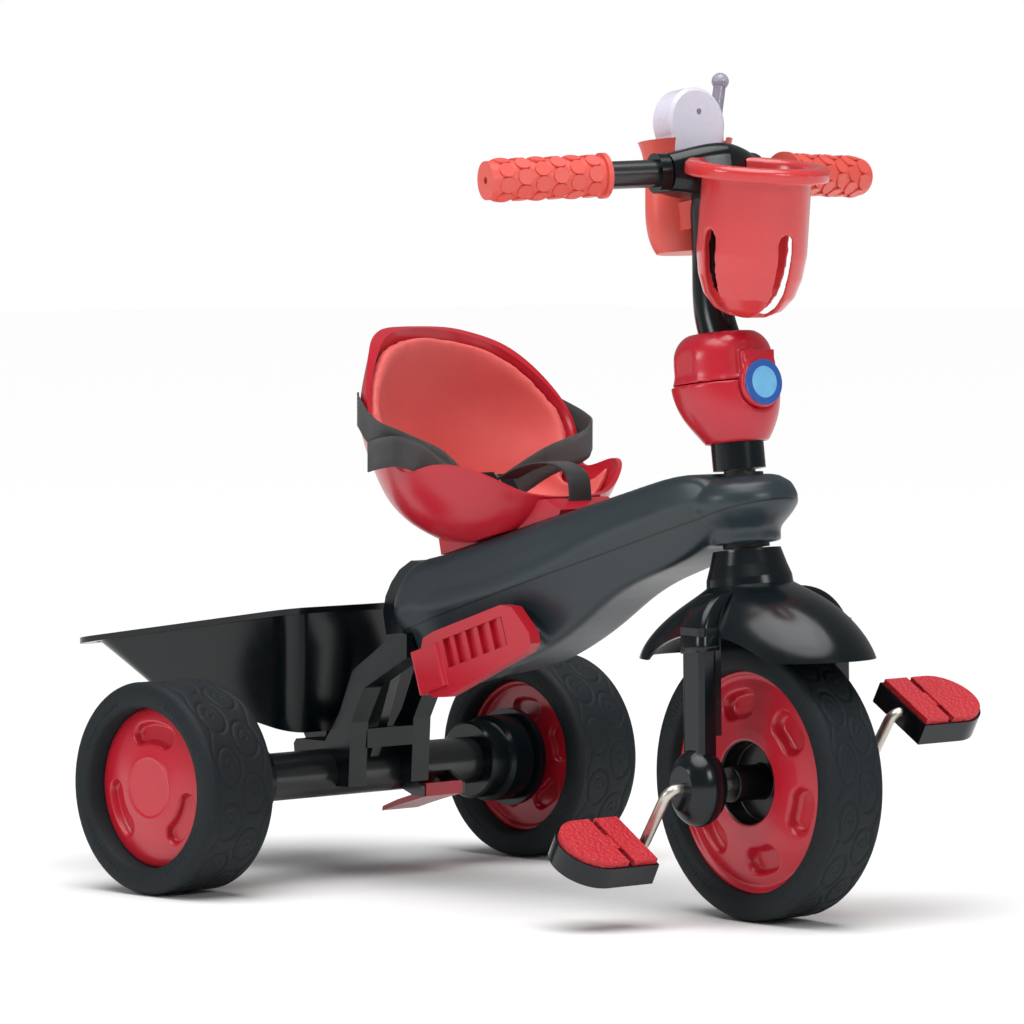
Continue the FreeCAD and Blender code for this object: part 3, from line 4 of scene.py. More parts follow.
import bmesh
import bpy
import numpy as np
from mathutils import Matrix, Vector


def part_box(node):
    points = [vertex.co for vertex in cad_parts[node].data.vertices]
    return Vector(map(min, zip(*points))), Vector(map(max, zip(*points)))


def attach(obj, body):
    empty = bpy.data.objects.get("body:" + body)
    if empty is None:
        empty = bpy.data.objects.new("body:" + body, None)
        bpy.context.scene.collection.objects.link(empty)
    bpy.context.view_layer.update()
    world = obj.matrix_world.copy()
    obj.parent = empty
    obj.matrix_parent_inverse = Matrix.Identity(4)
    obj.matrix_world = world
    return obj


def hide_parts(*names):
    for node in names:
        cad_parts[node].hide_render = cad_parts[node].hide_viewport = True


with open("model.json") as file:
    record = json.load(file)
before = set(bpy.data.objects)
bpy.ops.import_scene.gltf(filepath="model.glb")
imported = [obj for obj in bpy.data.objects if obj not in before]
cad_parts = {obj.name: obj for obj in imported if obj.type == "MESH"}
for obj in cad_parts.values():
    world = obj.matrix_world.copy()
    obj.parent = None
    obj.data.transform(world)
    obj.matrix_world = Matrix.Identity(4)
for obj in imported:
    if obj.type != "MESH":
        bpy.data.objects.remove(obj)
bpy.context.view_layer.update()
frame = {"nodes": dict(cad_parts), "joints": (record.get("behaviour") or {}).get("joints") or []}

# ---- studio -----------------------------------------------------------------------------
# A pale floor that fades into a pale room, a large soft light on each side and one above.
# The camera stands low, in front of the tricycle and on the rider's right.
scene = bpy.context.scene
scene.view_settings.view_transform = "Standard"

eye = Vector((3.3396, -3.2721, 0.5346))
aim = Vector((-0.0045, -0.0001, 0.3118))
camera = bpy.data.objects.new("camera", bpy.data.cameras.new("camera"))
camera.data.lens = 200.7
camera.data.sensor_width = 36.0
camera.data.clip_end = 50.0
camera.location = eye
camera.rotation_euler = (aim - eye).to_track_quat("-Z", "Y").to_euler()
scene.collection.objects.link(camera)
scene.camera = camera

floor_half = 30.0
corners = [(-floor_half, -floor_half, 0), (floor_half, -floor_half, 0),
           (floor_half, floor_half, 0), (-floor_half, floor_half, 0)]
floor_mesh = bpy.data.meshes.new("floor")
floor_mesh.from_pydata(corners, [], [(0, 1, 2, 3)])
floor = bpy.data.objects.new("floor", floor_mesh)
scene.collection.objects.link(floor)
floor_paint = bpy.data.materials.new("pale floor")
floor_paint.use_nodes = True
floor_shader = floor_paint.node_tree.nodes["Principled BSDF"]
floor_shader.inputs["Base Color"].default_value = (0.9, 0.9, 0.9, 1)
floor_shader.inputs["Roughness"].default_value = 0.95
floor_mesh.materials.append(floor_paint)

room = bpy.data.worlds.new("pale room")
room.use_nodes = True
wall_glow = room.node_tree.nodes["Background"]
wall_glow.inputs["Color"].default_value = (1, 1, 1, 1)
wall_glow.inputs["Strength"].default_value = 0.22
white_wall = room.node_tree.nodes.new("ShaderNodeBackground")
white_wall.inputs["Color"].default_value = (1, 1, 1, 1)
seen_or_lit = room.node_tree.nodes.new("ShaderNodeMixShader")
ray = room.node_tree.nodes.new("ShaderNodeLightPath")
room.node_tree.links.new(ray.outputs["Is Camera Ray"], seen_or_lit.inputs[0])
room.node_tree.links.new(wall_glow.outputs[0], seen_or_lit.inputs[1])
room.node_tree.links.new(white_wall.outputs[0], seen_or_lit.inputs[2])
room.node_tree.links.new(seen_or_lit.outputs[0], room.node_tree.nodes["World Output"].inputs["Surface"])
scene.world = room

sky = bpy.data.lights.new("soft ceiling", "SUN")
sky.energy = 2.95
sky.angle = math.radians(60)
ceiling = bpy.data.objects.new("soft ceiling", sky)
ceiling.rotation_euler = (math.radians(8), math.radians(6), 0)
scene.collection.objects.link(ceiling)


def soft_light(name, place, size, power):
    lamp = bpy.data.lights.new(name, "AREA")
    lamp.size = size
    lamp.energy = power
    holder = bpy.data.objects.new(name, lamp)
    holder.location = place
    holder.rotation_euler = (Vector((0, 0, 0.3)) - Vector(place)).to_track_quat("-Z", "Y").to_euler()
    scene.collection.objects.link(holder)


soft_light("light above", (0.6, -0.4, 3.0), 1.6, 8)
soft_light("light ahead", (3.2, -0.2, 1.6), 0.9, 20)
soft_light("light beside", (-0.6, -3.0, 1.4), 0.9, 20)


# ---- tyres --------------------------------------------------------------------------------
# Three solid tyres of charcoal foam rubber, stretched over the rims.
# The tread is cut into rounded cells by shallow channels, with a band of ticks on each wall.
class Wire:
    """A node's output that can be used in sums, which add their own Math nodes."""

    def __init__(self, finish, socket):
        self.finish = finish
        self.socket = socket

    def join(self, operation, *values):
        return self.finish.node("ShaderNodeMath", {"operation": operation}, dict(enumerate(values)))

    def __add__(self, other):
        return self.join("ADD", self, other)

    __radd__ = __add__

    def __sub__(self, other):
        return self.join("SUBTRACT", self, other)

    def __rsub__(self, other):
        return self.join("SUBTRACT", other, self)

    def __mul__(self, other):
        return self.join("MULTIPLY", self, other)

    __rmul__ = __mul__


class Finish:
    """A material made of nodes around one Principled shader."""

    def __init__(self, name, **constants):
        self.material = bpy.data.materials.new(name)
        self.material.use_nodes = True
        self.tree = self.material.node_tree
        self.shader = self.tree.nodes["Principled BSDF"]
        for socket, value in constants.items():
            self.shader.inputs[socket.replace("_", " ")].default_value = value

    def node(self, kind, settings=None, sockets=None, output=0):
        made = self.tree.nodes.new(kind)
        for key, value in (settings or {}).items():
            if key == "stops":
                ramp = made.color_ramp
                while len(ramp.elements) < len(value):
                    ramp.elements.new(0.5)
                for element, (place, colour) in zip(ramp.elements, value):
                    element.position = place
                    element.color = colour
            else:
                setattr(made, key, value)
        for socket, value in (sockets or {}).items():
            self.put(made.inputs[socket], value)
        return Wire(self, made.outputs[output])

    def put(self, socket, value):
        if isinstance(value, Wire):
            self.tree.links.new(value.socket, socket)
        else:
            socket.default_value = value

    def place(self):
        return self.node("ShaderNodeTexCoord", output="Object")

    def noise(self, scale, detail=4.0, roughness=0.55):
        return self.node("ShaderNodeTexNoise", {}, {"Vector": self.place(), "Scale": scale,
                                                    "Detail": detail, "Roughness": roughness}, output="Fac")

    def blend(self, factor, first, second):
        return self.node("ShaderNodeMix", {"data_type": "RGBA"}, {0: factor, 6: first, 7: second}, output=2)

    def relief(self, height, distance, strength=1.0):
        bump = self.node("ShaderNodeBump", {}, {"Height": height, "Distance": distance, "Strength": strength})
        self.put(self.shader.inputs["Normal"], bump)

    def base(self, value):
        self.put(self.shader.inputs["Base Color"], value)

    def rough(self, value):
        self.put(self.shader.inputs["Roughness"], value)


def shade(colour, factor):
    return tuple(min(1.0, channel * factor) for channel in colour[:3]) + (1.0,)


def wear(finish, nodes):
    """Give CAD pieces a finish."""
    for node in nodes:
        mesh = frame["nodes"][node].data
        mesh.materials.clear()
        mesh.materials.append(finish.material)


rubber = Finish("foam rubber", Specular_IOR_Level=0.3)
rubber_colour = (0.0055, 0.0095, 0.0115, 1)
rubber_dust = rubber.noise(90, 6)
rubber.base(rubber.blend(rubber_dust, shade(rubber_colour, 0.8), shade(rubber_colour, 1.35)))
rubber.rough(rubber.noise(300, 2) * 0.2 + 0.55)
rubber.relief(rubber.noise(1400, 3), 0.0002, 0.5)


def piece(name, vertices, faces, finish):
    """A mesh object made of the given faces, standing at the origin."""
    mesh = bpy.data.meshes.new(name)
    mesh.from_pydata(vertices, [], faces)
    mesh.validate()
    mesh.materials.append(finish.material)
    mesh.shade_smooth()
    made = bpy.data.objects.new(name, mesh)
    scene.collection.objects.link(made)
    return made


def grid_faces(rows, columns, closed_rows, closed_columns):
    """Quads that join a grid of points, which may close on itself in both directions."""
    faces = []
    for row in range(rows if closed_rows else rows - 1):
        for column in range(columns if closed_columns else columns - 1):
            ahead = (row + 1) % rows
            beside = (column + 1) % columns
            faces.append((row * columns + column, row * columns + beside,
                          ahead * columns + beside, ahead * columns + column))
    return faces


def face_outwards(made):
    """Turn every face of a closed shape outwards."""
    mesh = bmesh.new()
    mesh.from_mesh(made.data)
    bmesh.ops.recalc_face_normals(mesh, faces=mesh.faces)
    mesh.to_mesh(made.data)
    mesh.free()


def groove_depth(along, across, unit, width):
    """How deep the moulded lines are at each point, from 0 to 1: ovals, dots and two waves."""
    line = 0.0009
    half_long = unit * 0.36
    half_wide = width * 0.17
    depth = np.zeros(along.shape)
    for row, lean in ((-1, 0.0), (1, 0.5)):
        off = (along / unit + lean) % 1 - 0.5
        away = across - row * width * 0.17
        level = np.hypot(off * unit / half_long, away / half_wide)
        inner = np.hypot(off * unit / half_long, away / half_wide * 1.1)
        edge = np.abs(level - 1) * half_wide
        depth = np.maximum(depth, np.clip(1.6 - edge / line, 0, 1))
        dot = np.hypot(off * unit, away)
        depth = np.maximum(depth, np.clip(1.6 - dot / 0.0012, 0, 1))
        island = np.abs(inner - 0.5) * half_wide
        depth = np.maximum(depth, 0.6 * np.clip(1.4 - island / line, 0, 1) * (off > 0))
        wave = row * width * 0.345 + 0.0028 * np.sin(2 * np.pi * (along / unit + lean))
        depth = np.maximum(depth, np.clip(1.5 - np.abs(across - wave) / line, 0, 1))
    return depth


def tyre_outline(radius, width, bore):
    """Points round one slice of a tyre as (radius, across), with rounded shoulders."""
    half = width / 2
    shoulder = 0.007
    points = [(bore, -half + 0.003), (bore + 0.003, -half + 0.0008), (radius - 0.012, -half)]
    for step in range(1, 8):
        turn = math.radians(90 * step / 8)
        points.append((radius - shoulder + shoulder * math.sin(turn) - 0.001,
                       -half + shoulder - shoulder * math.cos(turn)))
    flats = 46
    for step in range(flats + 1):
        points.append((radius - 0.0012, -half + shoulder + (width - 2 * shoulder) * step / flats))
    for step in range(7, 0, -1):
        turn = math.radians(90 * step / 8)
        points.append((radius - shoulder + shoulder * math.sin(turn) - 0.001,
                       half - shoulder + shoulder * math.cos(turn)))
    points += [(radius - 0.012, half), (bore + 0.003, half - 0.0008), (bore, half - 0.003)]
    return points


def make_tyre(name, node, body, centre, axle, radius, width, bore, unit):
    outline = np.array(tyre_outline(radius, width, bore))
    columns = len(outline)
    units = round(2 * math.pi * radius / unit)
    rows = 640
    angle = np.linspace(0, 2 * math.pi, rows, endpoint=False)[:, None] * np.ones((1, columns))
    r = outline[:, 0][None, :] * np.ones((rows, 1))
    y = outline[:, 1][None, :] * np.ones((rows, 1))
    on_tread = np.clip((r - (radius - 0.006)) / 0.004, 0, 1)
    depth = groove_depth(angle * radius, y, 2 * math.pi * radius / units, width)
    r = r - 0.0009 * depth * on_tread
    level = np.column_stack([(r * np.cos(angle)).ravel(), y.ravel(), (r * np.sin(angle)).ravel()])
    turn = Vector((0, 1, 0)).rotation_difference(axle).to_matrix()
    vertices = level @ np.array(turn).T + np.array(centre)
    made = piece(name, vertices.tolist(), grid_faces(rows, columns, True, True), rubber)
    face_outwards(made)
    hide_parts(node)
    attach(made, body)


def middle(node):
    low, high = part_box(node)
    return (low + high) / 2


joint_of = {joint["name"]: joint for joint in frame["joints"]}
wheel_axle = Vector(joint_of["front_wheel_spin"]["axis"])
for side in ("left", "right"):
    make_tyre("tyre_rear_" + side, "rear_tyre_" + side, "rear_wheel_" + side, middle("rear_tyre_" + side),
              Vector((0, 1, 0)), 0.088, 0.071, 0.066, 0.046)
make_tyre("tyre_front", "front_tyre", "front_wheel", middle("front_tyre"), wheel_axle,
          0.110, 0.055, 0.088, 0.046)



def block_tree(name):
    """Geometry nodes that set small rounded blocks along a path, each turned to follow it."""
    tree = bpy.data.node_groups.new(name, "GeometryNodeTree")
    face = tree.interface
    face.new_socket("Geometry", in_out="INPUT", socket_type="NodeSocketGeometry")
    for size in ("Spacing", "Length", "Width", "Height"):
        face.new_socket(size, in_out="INPUT", socket_type="NodeSocketFloat")
    face.new_socket("Finish", in_out="INPUT", socket_type="NodeSocketMaterial")
    face.new_socket("Geometry", in_out="OUTPUT", socket_type="NodeSocketGeometry")
    nodes, links = tree.nodes, tree.links
    given = nodes.new("NodeGroupInput")
    path = nodes.new("GeometryNodeMeshToCurve")
    beads = nodes.new("GeometryNodeCurveToPoints")
    beads.mode = "LENGTH"
    block = nodes.new("GeometryNodeMeshUVSphere")
    block.inputs["Segments"].default_value = 8
    block.inputs["Rings"].default_value = 6
    block.inputs["Radius"].default_value = 0.5
    size = nodes.new("ShaderNodeCombineXYZ")
    along = nodes.new("FunctionNodeAxesToRotation")
    along.primary_axis = "Z"
    along.secondary_axis = "Y"
    set_out = nodes.new("GeometryNodeInstanceOnPoints")
    real = nodes.new("GeometryNodeRealizeInstances")
    paint = nodes.new("GeometryNodeSetMaterial")
    result = nodes.new("NodeGroupOutput")
    links.new(given.outputs["Geometry"], path.inputs["Mesh"])
    links.new(path.outputs["Curve"], beads.inputs["Curve"])
    links.new(given.outputs["Spacing"], beads.inputs["Length"])
    links.new(beads.outputs["Points"], set_out.inputs["Points"])
    links.new(block.outputs["Mesh"], set_out.inputs["Instance"])
    links.new(given.outputs["Width"], size.inputs["X"])
    links.new(given.outputs["Height"], size.inputs["Y"])
    links.new(given.outputs["Length"], size.inputs["Z"])
    links.new(beads.outputs["Tangent"], along.inputs["Primary Axis"])
    links.new(beads.outputs["Normal"], along.inputs["Secondary Axis"])
    links.new(along.outputs["Rotation"], set_out.inputs["Rotation"])
    links.new(size.outputs["Vector"], set_out.inputs["Scale"])
    links.new(set_out.outputs["Instances"], real.inputs["Geometry"])
    links.new(real.outputs["Geometry"], paint.inputs["Geometry"])
    links.new(given.outputs["Finish"], paint.inputs["Material"])
    links.new(paint.outputs["Geometry"], result.inputs["Geometry"])
    return tree


blocks_on_path = block_tree("blocks along a path")


def blocks(name, paths, spacing, length, width, height, finish):
    """Small blocks along one or more runs of points, as one plain mesh."""
    vertices, edges = [], []
    for path in paths:
        start = len(vertices)
        vertices += [tuple(point) for point in path]
        edges += [(index, index + 1) for index in range(start, len(vertices) - 1)]
    mesh = bpy.data.meshes.new(name)
    mesh.from_pydata(vertices, edges, [])
    made = bpy.data.objects.new(name, mesh)
    scene.collection.objects.link(made)
    step = made.modifiers.new("blocks", "NODES")
    step.node_group = blocks_on_path
    given = {"Spacing": spacing, "Length": length, "Width": width, "Height": height,
             "Finish": finish.material}
    for item in blocks_on_path.interface.items_tree:
        if item.in_out == "INPUT" and item.name in given:
            step[item.identifier] = given[item.name]
    made.update_tag()
    bpy.context.view_layer.update()
    view = made.evaluated_get(bpy.context.evaluated_depsgraph_get())
    done = bpy.data.meshes.new_from_object(view)
    made.modifiers.clear()
    made.data = done
    done.shade_smooth()
    return made


def wall_ticks(name, body, centre, axle, radius, half):
    """Four bands of small raised ticks on each wall of a tyre."""
    turn = Vector((0, 1, 0)).rotation_difference(axle).to_matrix()
    paths = []
    for face in (-1, 1):
        for band in range(4):
            arc = []
            for step in range(13):
                angle = math.radians(band * 90 + 25 + step * 3.4)
                spot = Vector((radius * math.cos(angle), face * half, radius * math.sin(angle)))
                arc.append(centre + turn @ spot)
            paths.append(arc)
    made = blocks(name, paths, 0.0042, 0.0016, 0.0052, 0.0009, rubber)
    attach(made, body)


for side in ("left", "right"):
    wall_ticks("tyre_ticks_rear_" + side, "rear_wheel_" + side, middle("rear_tyre_" + side),
               Vector((0, 1, 0)), 0.0745, 0.0353)
wall_ticks("tyre_ticks_front", "front_wheel", middle("front_tyre"), wheel_axle, 0.0965, 0.0273)

# ---- moulded red parts ------------------------------------------------------------------
# Rims, seat shell, latch, clamp, brake tab and pedal treads are glossy moulded polypropylene.


def moulded(name, colour, roughness, grain, depth, coat=0.0):
    """Moulded plastic: a fine grain in the surface and a faint cloudiness in the gloss."""
    finish = Finish(name, Coat_Weight=coat, Coat_Roughness=0.15, IOR=1.49)
    cloud = finish.noise(14, 3)
    finish.base(finish.blend(cloud, shade(colour, 0.94), shade(colour, 1.06)))
    finish.rough(finish.noise(60, 5) * 0.12 + (roughness - 0.06))
    finish.relief(finish.noise(grain, 2), depth, 0.4)
    return finish


red_plastic = moulded("red polypropylene", (0.50, 0.0105, 0.026, 1), 0.30, 900, 0.00008, 0.2)
wear(red_plastic, ["seat_shell", "side_latch", "brake_pedal"])

# The pedal treads are the same red, with a pebbled surface that keeps a shoe from slipping.
tread_plastic = moulded("red pedal tread", (0.52, 0.020, 0.030, 1), 0.45, 900, 0.00008)
pebbles = tread_plastic.node("ShaderNodeTexVoronoi", {"feature": "F1"},
                             {"Vector": tread_plastic.place(), "Scale": 330.0}, output="Distance")
tread_plastic.relief(pebbles, 0.0009, 1.0)
wear(tread_plastic, ["pedal_tread_left", "pedal_tread_right"])

# ---- wheel discs --------------------------------------------------------------------------
# Each wheel is a red disc moulded in one piece, with blind pockets in both faces.
# A rear disc carries its snap-in cap, and the front one has a black core that holds the crank axle.
hub_radius = 0.0334
disc_plastic = moulded("red disc with black core", (0.50, 0.0105, 0.026, 1), 0.30, 900, 0.00008, 0.2)
red_source = disc_plastic.shader.inputs["Base Color"].links[0].from_socket
from_hub = disc_plastic.node("ShaderNodeVectorMath", {"operation": "SUBTRACT"},
                             {0: disc_plastic.place(), 1: Vector(joint_of["front_wheel_spin"]["pos_m"])})
round_axle = disc_plastic.node("ShaderNodeVectorMath", {"operation": "CROSS_PRODUCT"},
                               {0: from_hub, 1: wheel_axle})
off_axle = disc_plastic.node("ShaderNodeVectorMath", {"operation": "LENGTH"}, {0: round_axle},
                             output="Value")
is_core = off_axle.join("LESS_THAN", off_axle, hub_radius)
disc_plastic.base(disc_plastic.blend(is_core, Wire(disc_plastic, red_source), (0.003, 0.003, 0.0035, 1)))
disc_plastic.put(disc_plastic.shader.inputs["Coat Weight"], (1 - is_core) * 0.25)


def pocket_depth(r, angle, first, count, mid, half_wide, sweep, wall):
    """How far into the pockets each point of a disc is, from 0 to 1 over a sloping wall."""
    share = np.zeros(r.shape)
    half_sweep = math.radians(sweep / 2)
    for number in range(count):
        centre = math.radians(first + number * 360 / count)
        off = np.abs((angle - centre + math.pi) % (2 * math.pi) - math.pi)
        past = np.maximum(off - half_sweep, 0)
        round_end = np.sqrt(np.maximum(r * r + mid * mid - 2 * r * mid * np.cos(past), 0))
        gap = np.where(past > 0, round_end, np.abs(r - mid))
        level = np.clip((half_wide - gap) / wall + 0.5, 0, 1)
        share = np.maximum(share, level * level * (3 - 2 * level))
    return share


def filled_outline(corners, step):
    """Points no more than a step apart along a line through the corners."""
    points = [corners[0]]
    for (r0, y0), (r1, y1) in zip(corners, corners[1:]):
        parts = max(1, math.ceil(math.hypot(r1 - r0, y1 - y0) / step))
        for part in range(1, parts + 1):
            points.append((r0 + (r1 - r0) * part / parts, y0 + (y1 - y0) * part / parts))
    return np.array(points)


def make_disc(name, nodes, body, centre, axle, corners, pockets, finish):
    """A turned disc whose two faces are sunk by pockets; both ends of its outline are on the axle."""
    outline = filled_outline(corners, 0.0013)[1:-1]
    columns = len(outline)
    rows = 360
    angle = np.linspace(0, 2 * math.pi, rows, endpoint=False)[:, None] * np.ones((1, columns))
    r = outline[:, 0][None, :] * np.ones((rows, 1))
    y = outline[:, 1][None, :] * np.ones((rows, 1))
    for face, depth, shape in pockets:
        sunk = depth * pocket_depth(r, angle, *shape)
        y = np.where(np.sign(y) == face, y - face * sunk, y)
    places = np.column_stack([(r * np.cos(angle)).ravel(), y.ravel(), (r * np.sin(angle)).ravel()])
    poles = np.array([[0, corners[0][1], 0], [0, corners[-1][1], 0]])
    turn = np.array(Vector((0, 1, 0)).rotation_difference(axle).to_matrix())
    vertices = np.vstack([places, poles]) @ turn.T + np.array(centre)
    faces = grid_faces(rows, columns, True, False)
    for row in range(rows):
        ahead = (row + 1) % rows
        faces.append((rows * columns, row * columns, ahead * columns))
        faces.append((rows * columns + 1, ahead * columns + columns - 1, row * columns + columns - 1))
    made = piece(name, vertices.tolist(), faces, finish)
    face_outwards(made)
    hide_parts(*nodes)
    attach(made, body)


rear_plane = abs(middle("rear_tyre_left")[1])
cap_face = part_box("rear_hubcap_left")[1][1] - rear_plane
hub_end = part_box("rear_rim_left")[0][1] - rear_plane
rear_corners = [(0, cap_face - 0.0006), (0.0238, cap_face - 0.0006), (0.0246, cap_face - 0.0001),
                (0.0256, cap_face),
                (0.0264, cap_face - 0.0006), (0.031, cap_face - 0.0014), (0.040, cap_face - 0.0027),
                (0.050, cap_face - 0.0043), (0.058, cap_face - 0.0058), (0.064, cap_face - 0.0074),
                (0.0658, 0.0180), (0.066, 0.0165), (0.066, -0.0190), (0.0650, -0.0202), (0.0630, -0.0205),
                (0.0615, -0.0195), (0.0605, -0.0150), (0.0190, -0.0150), (0.0165, -0.0160), (0.0150, -0.0190),
                (0.0150, hub_end), (0.0065, hub_end), (0.0065, 0.0150), (0, 0.0150)]
outer_slots = (87, 3, 0.045, 0.0078, 40, 0.0034)
inner_pockets = (90, 5, 0.041, 0.0078, 22, 0.0030)
rear_pockets = [(1, 0.0065, outer_slots), (-1, 0.0050, inner_pockets)]
for side, out in (("left", 1), ("right", -1)):
    make_disc("disc_rear_" + side, ("rear_rim_" + side, "rear_hubcap_" + side), "rear_wheel_" + side,
              Vector((middle("rear_tyre_" + side)[0], out * rear_plane, middle("rear_tyre_" + side)[2])),
              Vector((0, 1, 0)), [(r, out * y) for r, y in rear_corners],
              [(out * face, depth, shape) for face, depth, shape in rear_pockets], red_plastic)

half_front = [(0.0315, 0.0060), (0.0318, 0.0190), (0.0326, 0.0212), (0.0342, 0.0222), (0.042, 0.0214),
              (0.058, 0.0190), (0.074, 0.0160), (0.0815, 0.0142), (0.0838, 0.0146), (0.0852, 0.0168),
              (0.0868, 0.0175), (0.088, 0.0168)]
front_hub = [(0, 0.0400), (0.0140, 0.0400), (0.0140, 0.0060)]
one_face = front_hub + half_front
front_corners = one_face + [(r, -y) for r, y in reversed(one_face)]
front_shape = (43, 6, 0.062, 0.0095, 15, 0.0050)
make_disc("disc_front", ("front_rim",), "front_wheel", middle("front_tyre"), wheel_axle, front_corners,
          [(1, 0.0085, front_shape), (-1, 0.0085, front_shape)], disc_plastic)

# ---- clamp --------------------------------------------------------------------------------
# The red clamp under the handlebar: a bowl that grips the column, with a soft tongue for its emblem.
def merged_copy(nodes, name):
    """A copy of one or more CAD pieces with their loose triangles joined."""
    mesh = bmesh.new()
    for node in nodes:
        mesh.from_mesh(frame["nodes"][node].data)
    bmesh.ops.remove_doubles(mesh, verts=mesh.verts, dist=1e-6)
    joined = bpy.data.meshes.new(name)
    mesh.to_mesh(joined)
    mesh.free()
    made = bpy.data.objects.new(name, joined)
    scene.collection.objects.link(made)
    return made


def finished(made):
    """The object's mesh with its modifiers applied, in one plain mesh."""
    bpy.context.view_layer.update()
    view = made.evaluated_get(bpy.context.evaluated_depsgraph_get())
    done = bpy.data.meshes.new_from_object(view)
    made.modifiers.clear()
    made.data = done
    return made


def softened(nodes, name, body, finish, voxel, rounds):
    """A CAD shell with its edges and seams melted a little, as they come from a mould."""
    made = merged_copy(nodes, name)
    remesh = made.modifiers.new("remesh", "REMESH")
    remesh.mode = "VOXEL"
    remesh.voxel_size = voxel
    finished(made)
    relax = made.modifiers.new("relax", "SMOOTH")
    relax.factor = 0.5
    relax.iterations = rounds
    finished(made)
    made.data.materials.clear()
    made.data.materials.append(finish.material)
    made.data.shade_smooth()
    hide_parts(*nodes)
    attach(made, body)
    return made


softened(["clamp_bowl"], "clamp_bowl_smooth", "steering", red_plastic, 0.0014, 6)
softened(["clamp_ring"], "clamp_ring_smooth", "collar", red_plastic, 0.0014, 12)

# ---- moulded coral parts ----------------------------------------------------------------
# Grips and phone holder in a softer and duller coral plastic; the front bucket in a brighter, glossier red.
coral_plastic = moulded("coral soft plastic", (0.74, 0.098, 0.075, 1), 0.40, 700, 0.0001)
wear(coral_plastic, ["grip_left", "grip_right", "phone_holder"])
bucket_plastic = moulded("bright bucket plastic", (0.62, 0.042, 0.045, 1), 0.22, 900, 0.00005, 0.3)
softened(["front_bucket"], "bucket_smooth", "steering", bucket_plastic, 0.0013, 4)

# ---- black moulded parts ----------------------------------------------------------------
# Tray, fender, fork, collars, bracket and covers, black with a smooth satin gloss.
black_plastic = moulded("black polypropylene", (0.0025, 0.0055, 0.0070, 1), 0.20, 900, 0.00003)
black_plastic.shader.inputs["Specular IOR Level"].default_value = 0.4
wear(black_plastic, ["axle_collar_left", "axle_collar_right", "axle_bracket", "tail_cap", "channel_liner",
                     "front_fender", "fork_leg_left", "fork_leg_right", "hub_cover_left", "hub_cover_right",
                     "neck_collar", "handlebar_cover", "seat_carriage", "buckle_body", "buckle_tongue",
                     "pedal_left", "pedal_right", "tray", "handlebar_column"])

# ---- fork shrouds -------------------------------------------------------------------------
# The fender runs down over the top of each fork leg in a smooth black shroud, part of the same moulding.
steer_joint = joint_of["steering"]
steer_axis = Vector(steer_joint["axis"]).normalized()
if steer_axis.z < 0:
    steer_axis = -steer_axis
steer_point = Vector(steer_joint["pos_m"])
wheel_ahead = wheel_axle.cross(steer_axis).normalized()
for side in ("left", "right"):
    low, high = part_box("fork_leg_" + side)
    across = (low[1] + high[1]) / 2
    leg = frame["nodes"]["fork_leg_" + side]
    top = max((Vector(vertex.co) for vertex in leg.data.vertices), key=lambda spot: spot.dot(steer_axis))
    top_rise = (top - steer_point).dot(steer_axis)
    sideways = wheel_axle if wheel_axle.y * across > 0 else -wheel_axle
    near_top = [Vector(vertex.co) for vertex in leg.data.vertices
                if (Vector(vertex.co) - steer_point).dot(steer_axis) > top_rise - 0.004]
    spots = [((spot - steer_point).dot(wheel_ahead), (spot - steer_point).dot(sideways)) for spot in near_top]
    ahead_low, ahead_high = min(s[0] for s in spots), max(s[0] for s in spots)
    out_low, out_high = min(s[1] for s in spots), max(s[1] for s in spots)
    leg_ahead, leg_out = (ahead_low + ahead_high) / 2, (out_low + out_high) / 2
    half_ahead, half_out = (ahead_high - ahead_low) / 2 + 0.003, (out_high - out_low) / 2 + 0.003
    sections, around = 18, 28
    vertices = []
    for step in range(sections):
        t = step / (sections - 1)
        rise = top_rise - 0.012 + 0.047 * math.sin(t * math.pi / 2)
        inward = leg_out - 0.042 * t ** 1.8
        lean = leg_ahead * (1 - 0.35 * t)
        scale = 1.0 - 0.5 * t ** 3
        for number in range(around):
            turn = 2 * math.pi * number / around
            c, n = math.cos(turn), math.sin(turn)
            square = (abs(c) ** 4 + abs(n) ** 4) ** -0.25
            vertices.append(steer_point + steer_axis * rise
                            + wheel_ahead * (lean + half_ahead * scale * c * square)
                            + sideways * (inward + half_out * scale * n * square))
    faces = grid_faces(sections, around, False, True)
    faces.append(tuple(range(around)))
    faces.append(tuple(reversed(range((sections - 1) * around, sections * around))))
    shroud = piece("fork_shroud_" + side, [tuple(spot) for spot in vertices], faces, black_plastic)
    face_outwards(shroud)
    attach(shroud, "steering")

# ---- body shells ------------------------------------------------------------------------
# Two slate-grey halves with a fine spark-eroded grain that scatters the light.
slate_plastic = moulded("slate body plastic", (0.021, 0.033, 0.040, 1), 0.34, 1100, 0.00010)
seam_slope = 0.30986
seam_level = 0.2404
seam_place = slate_plastic.node("ShaderNodeVectorMath", {"operation": "DOT_PRODUCT"},
                                {0: slate_plastic.place(), 1: (-seam_slope, 0, 1)}, output="Value")
off_seam = slate_plastic.node("ShaderNodeMath", {"operation": "ABSOLUTE"}, {0: seam_place - seam_level})
in_seam = off_seam.join("LESS_THAN", off_seam, 0.0007)
slate_source = Wire(slate_plastic, slate_plastic.shader.inputs["Base Color"].links[0].from_socket)
slate_plastic.base(slate_plastic.blend(in_seam, slate_source, (0.003, 0.004, 0.005, 1)))
softened(["body_shell_upper", "body_shell_lower"], "body_shell", "frame", slate_plastic, 0.0022, 8)

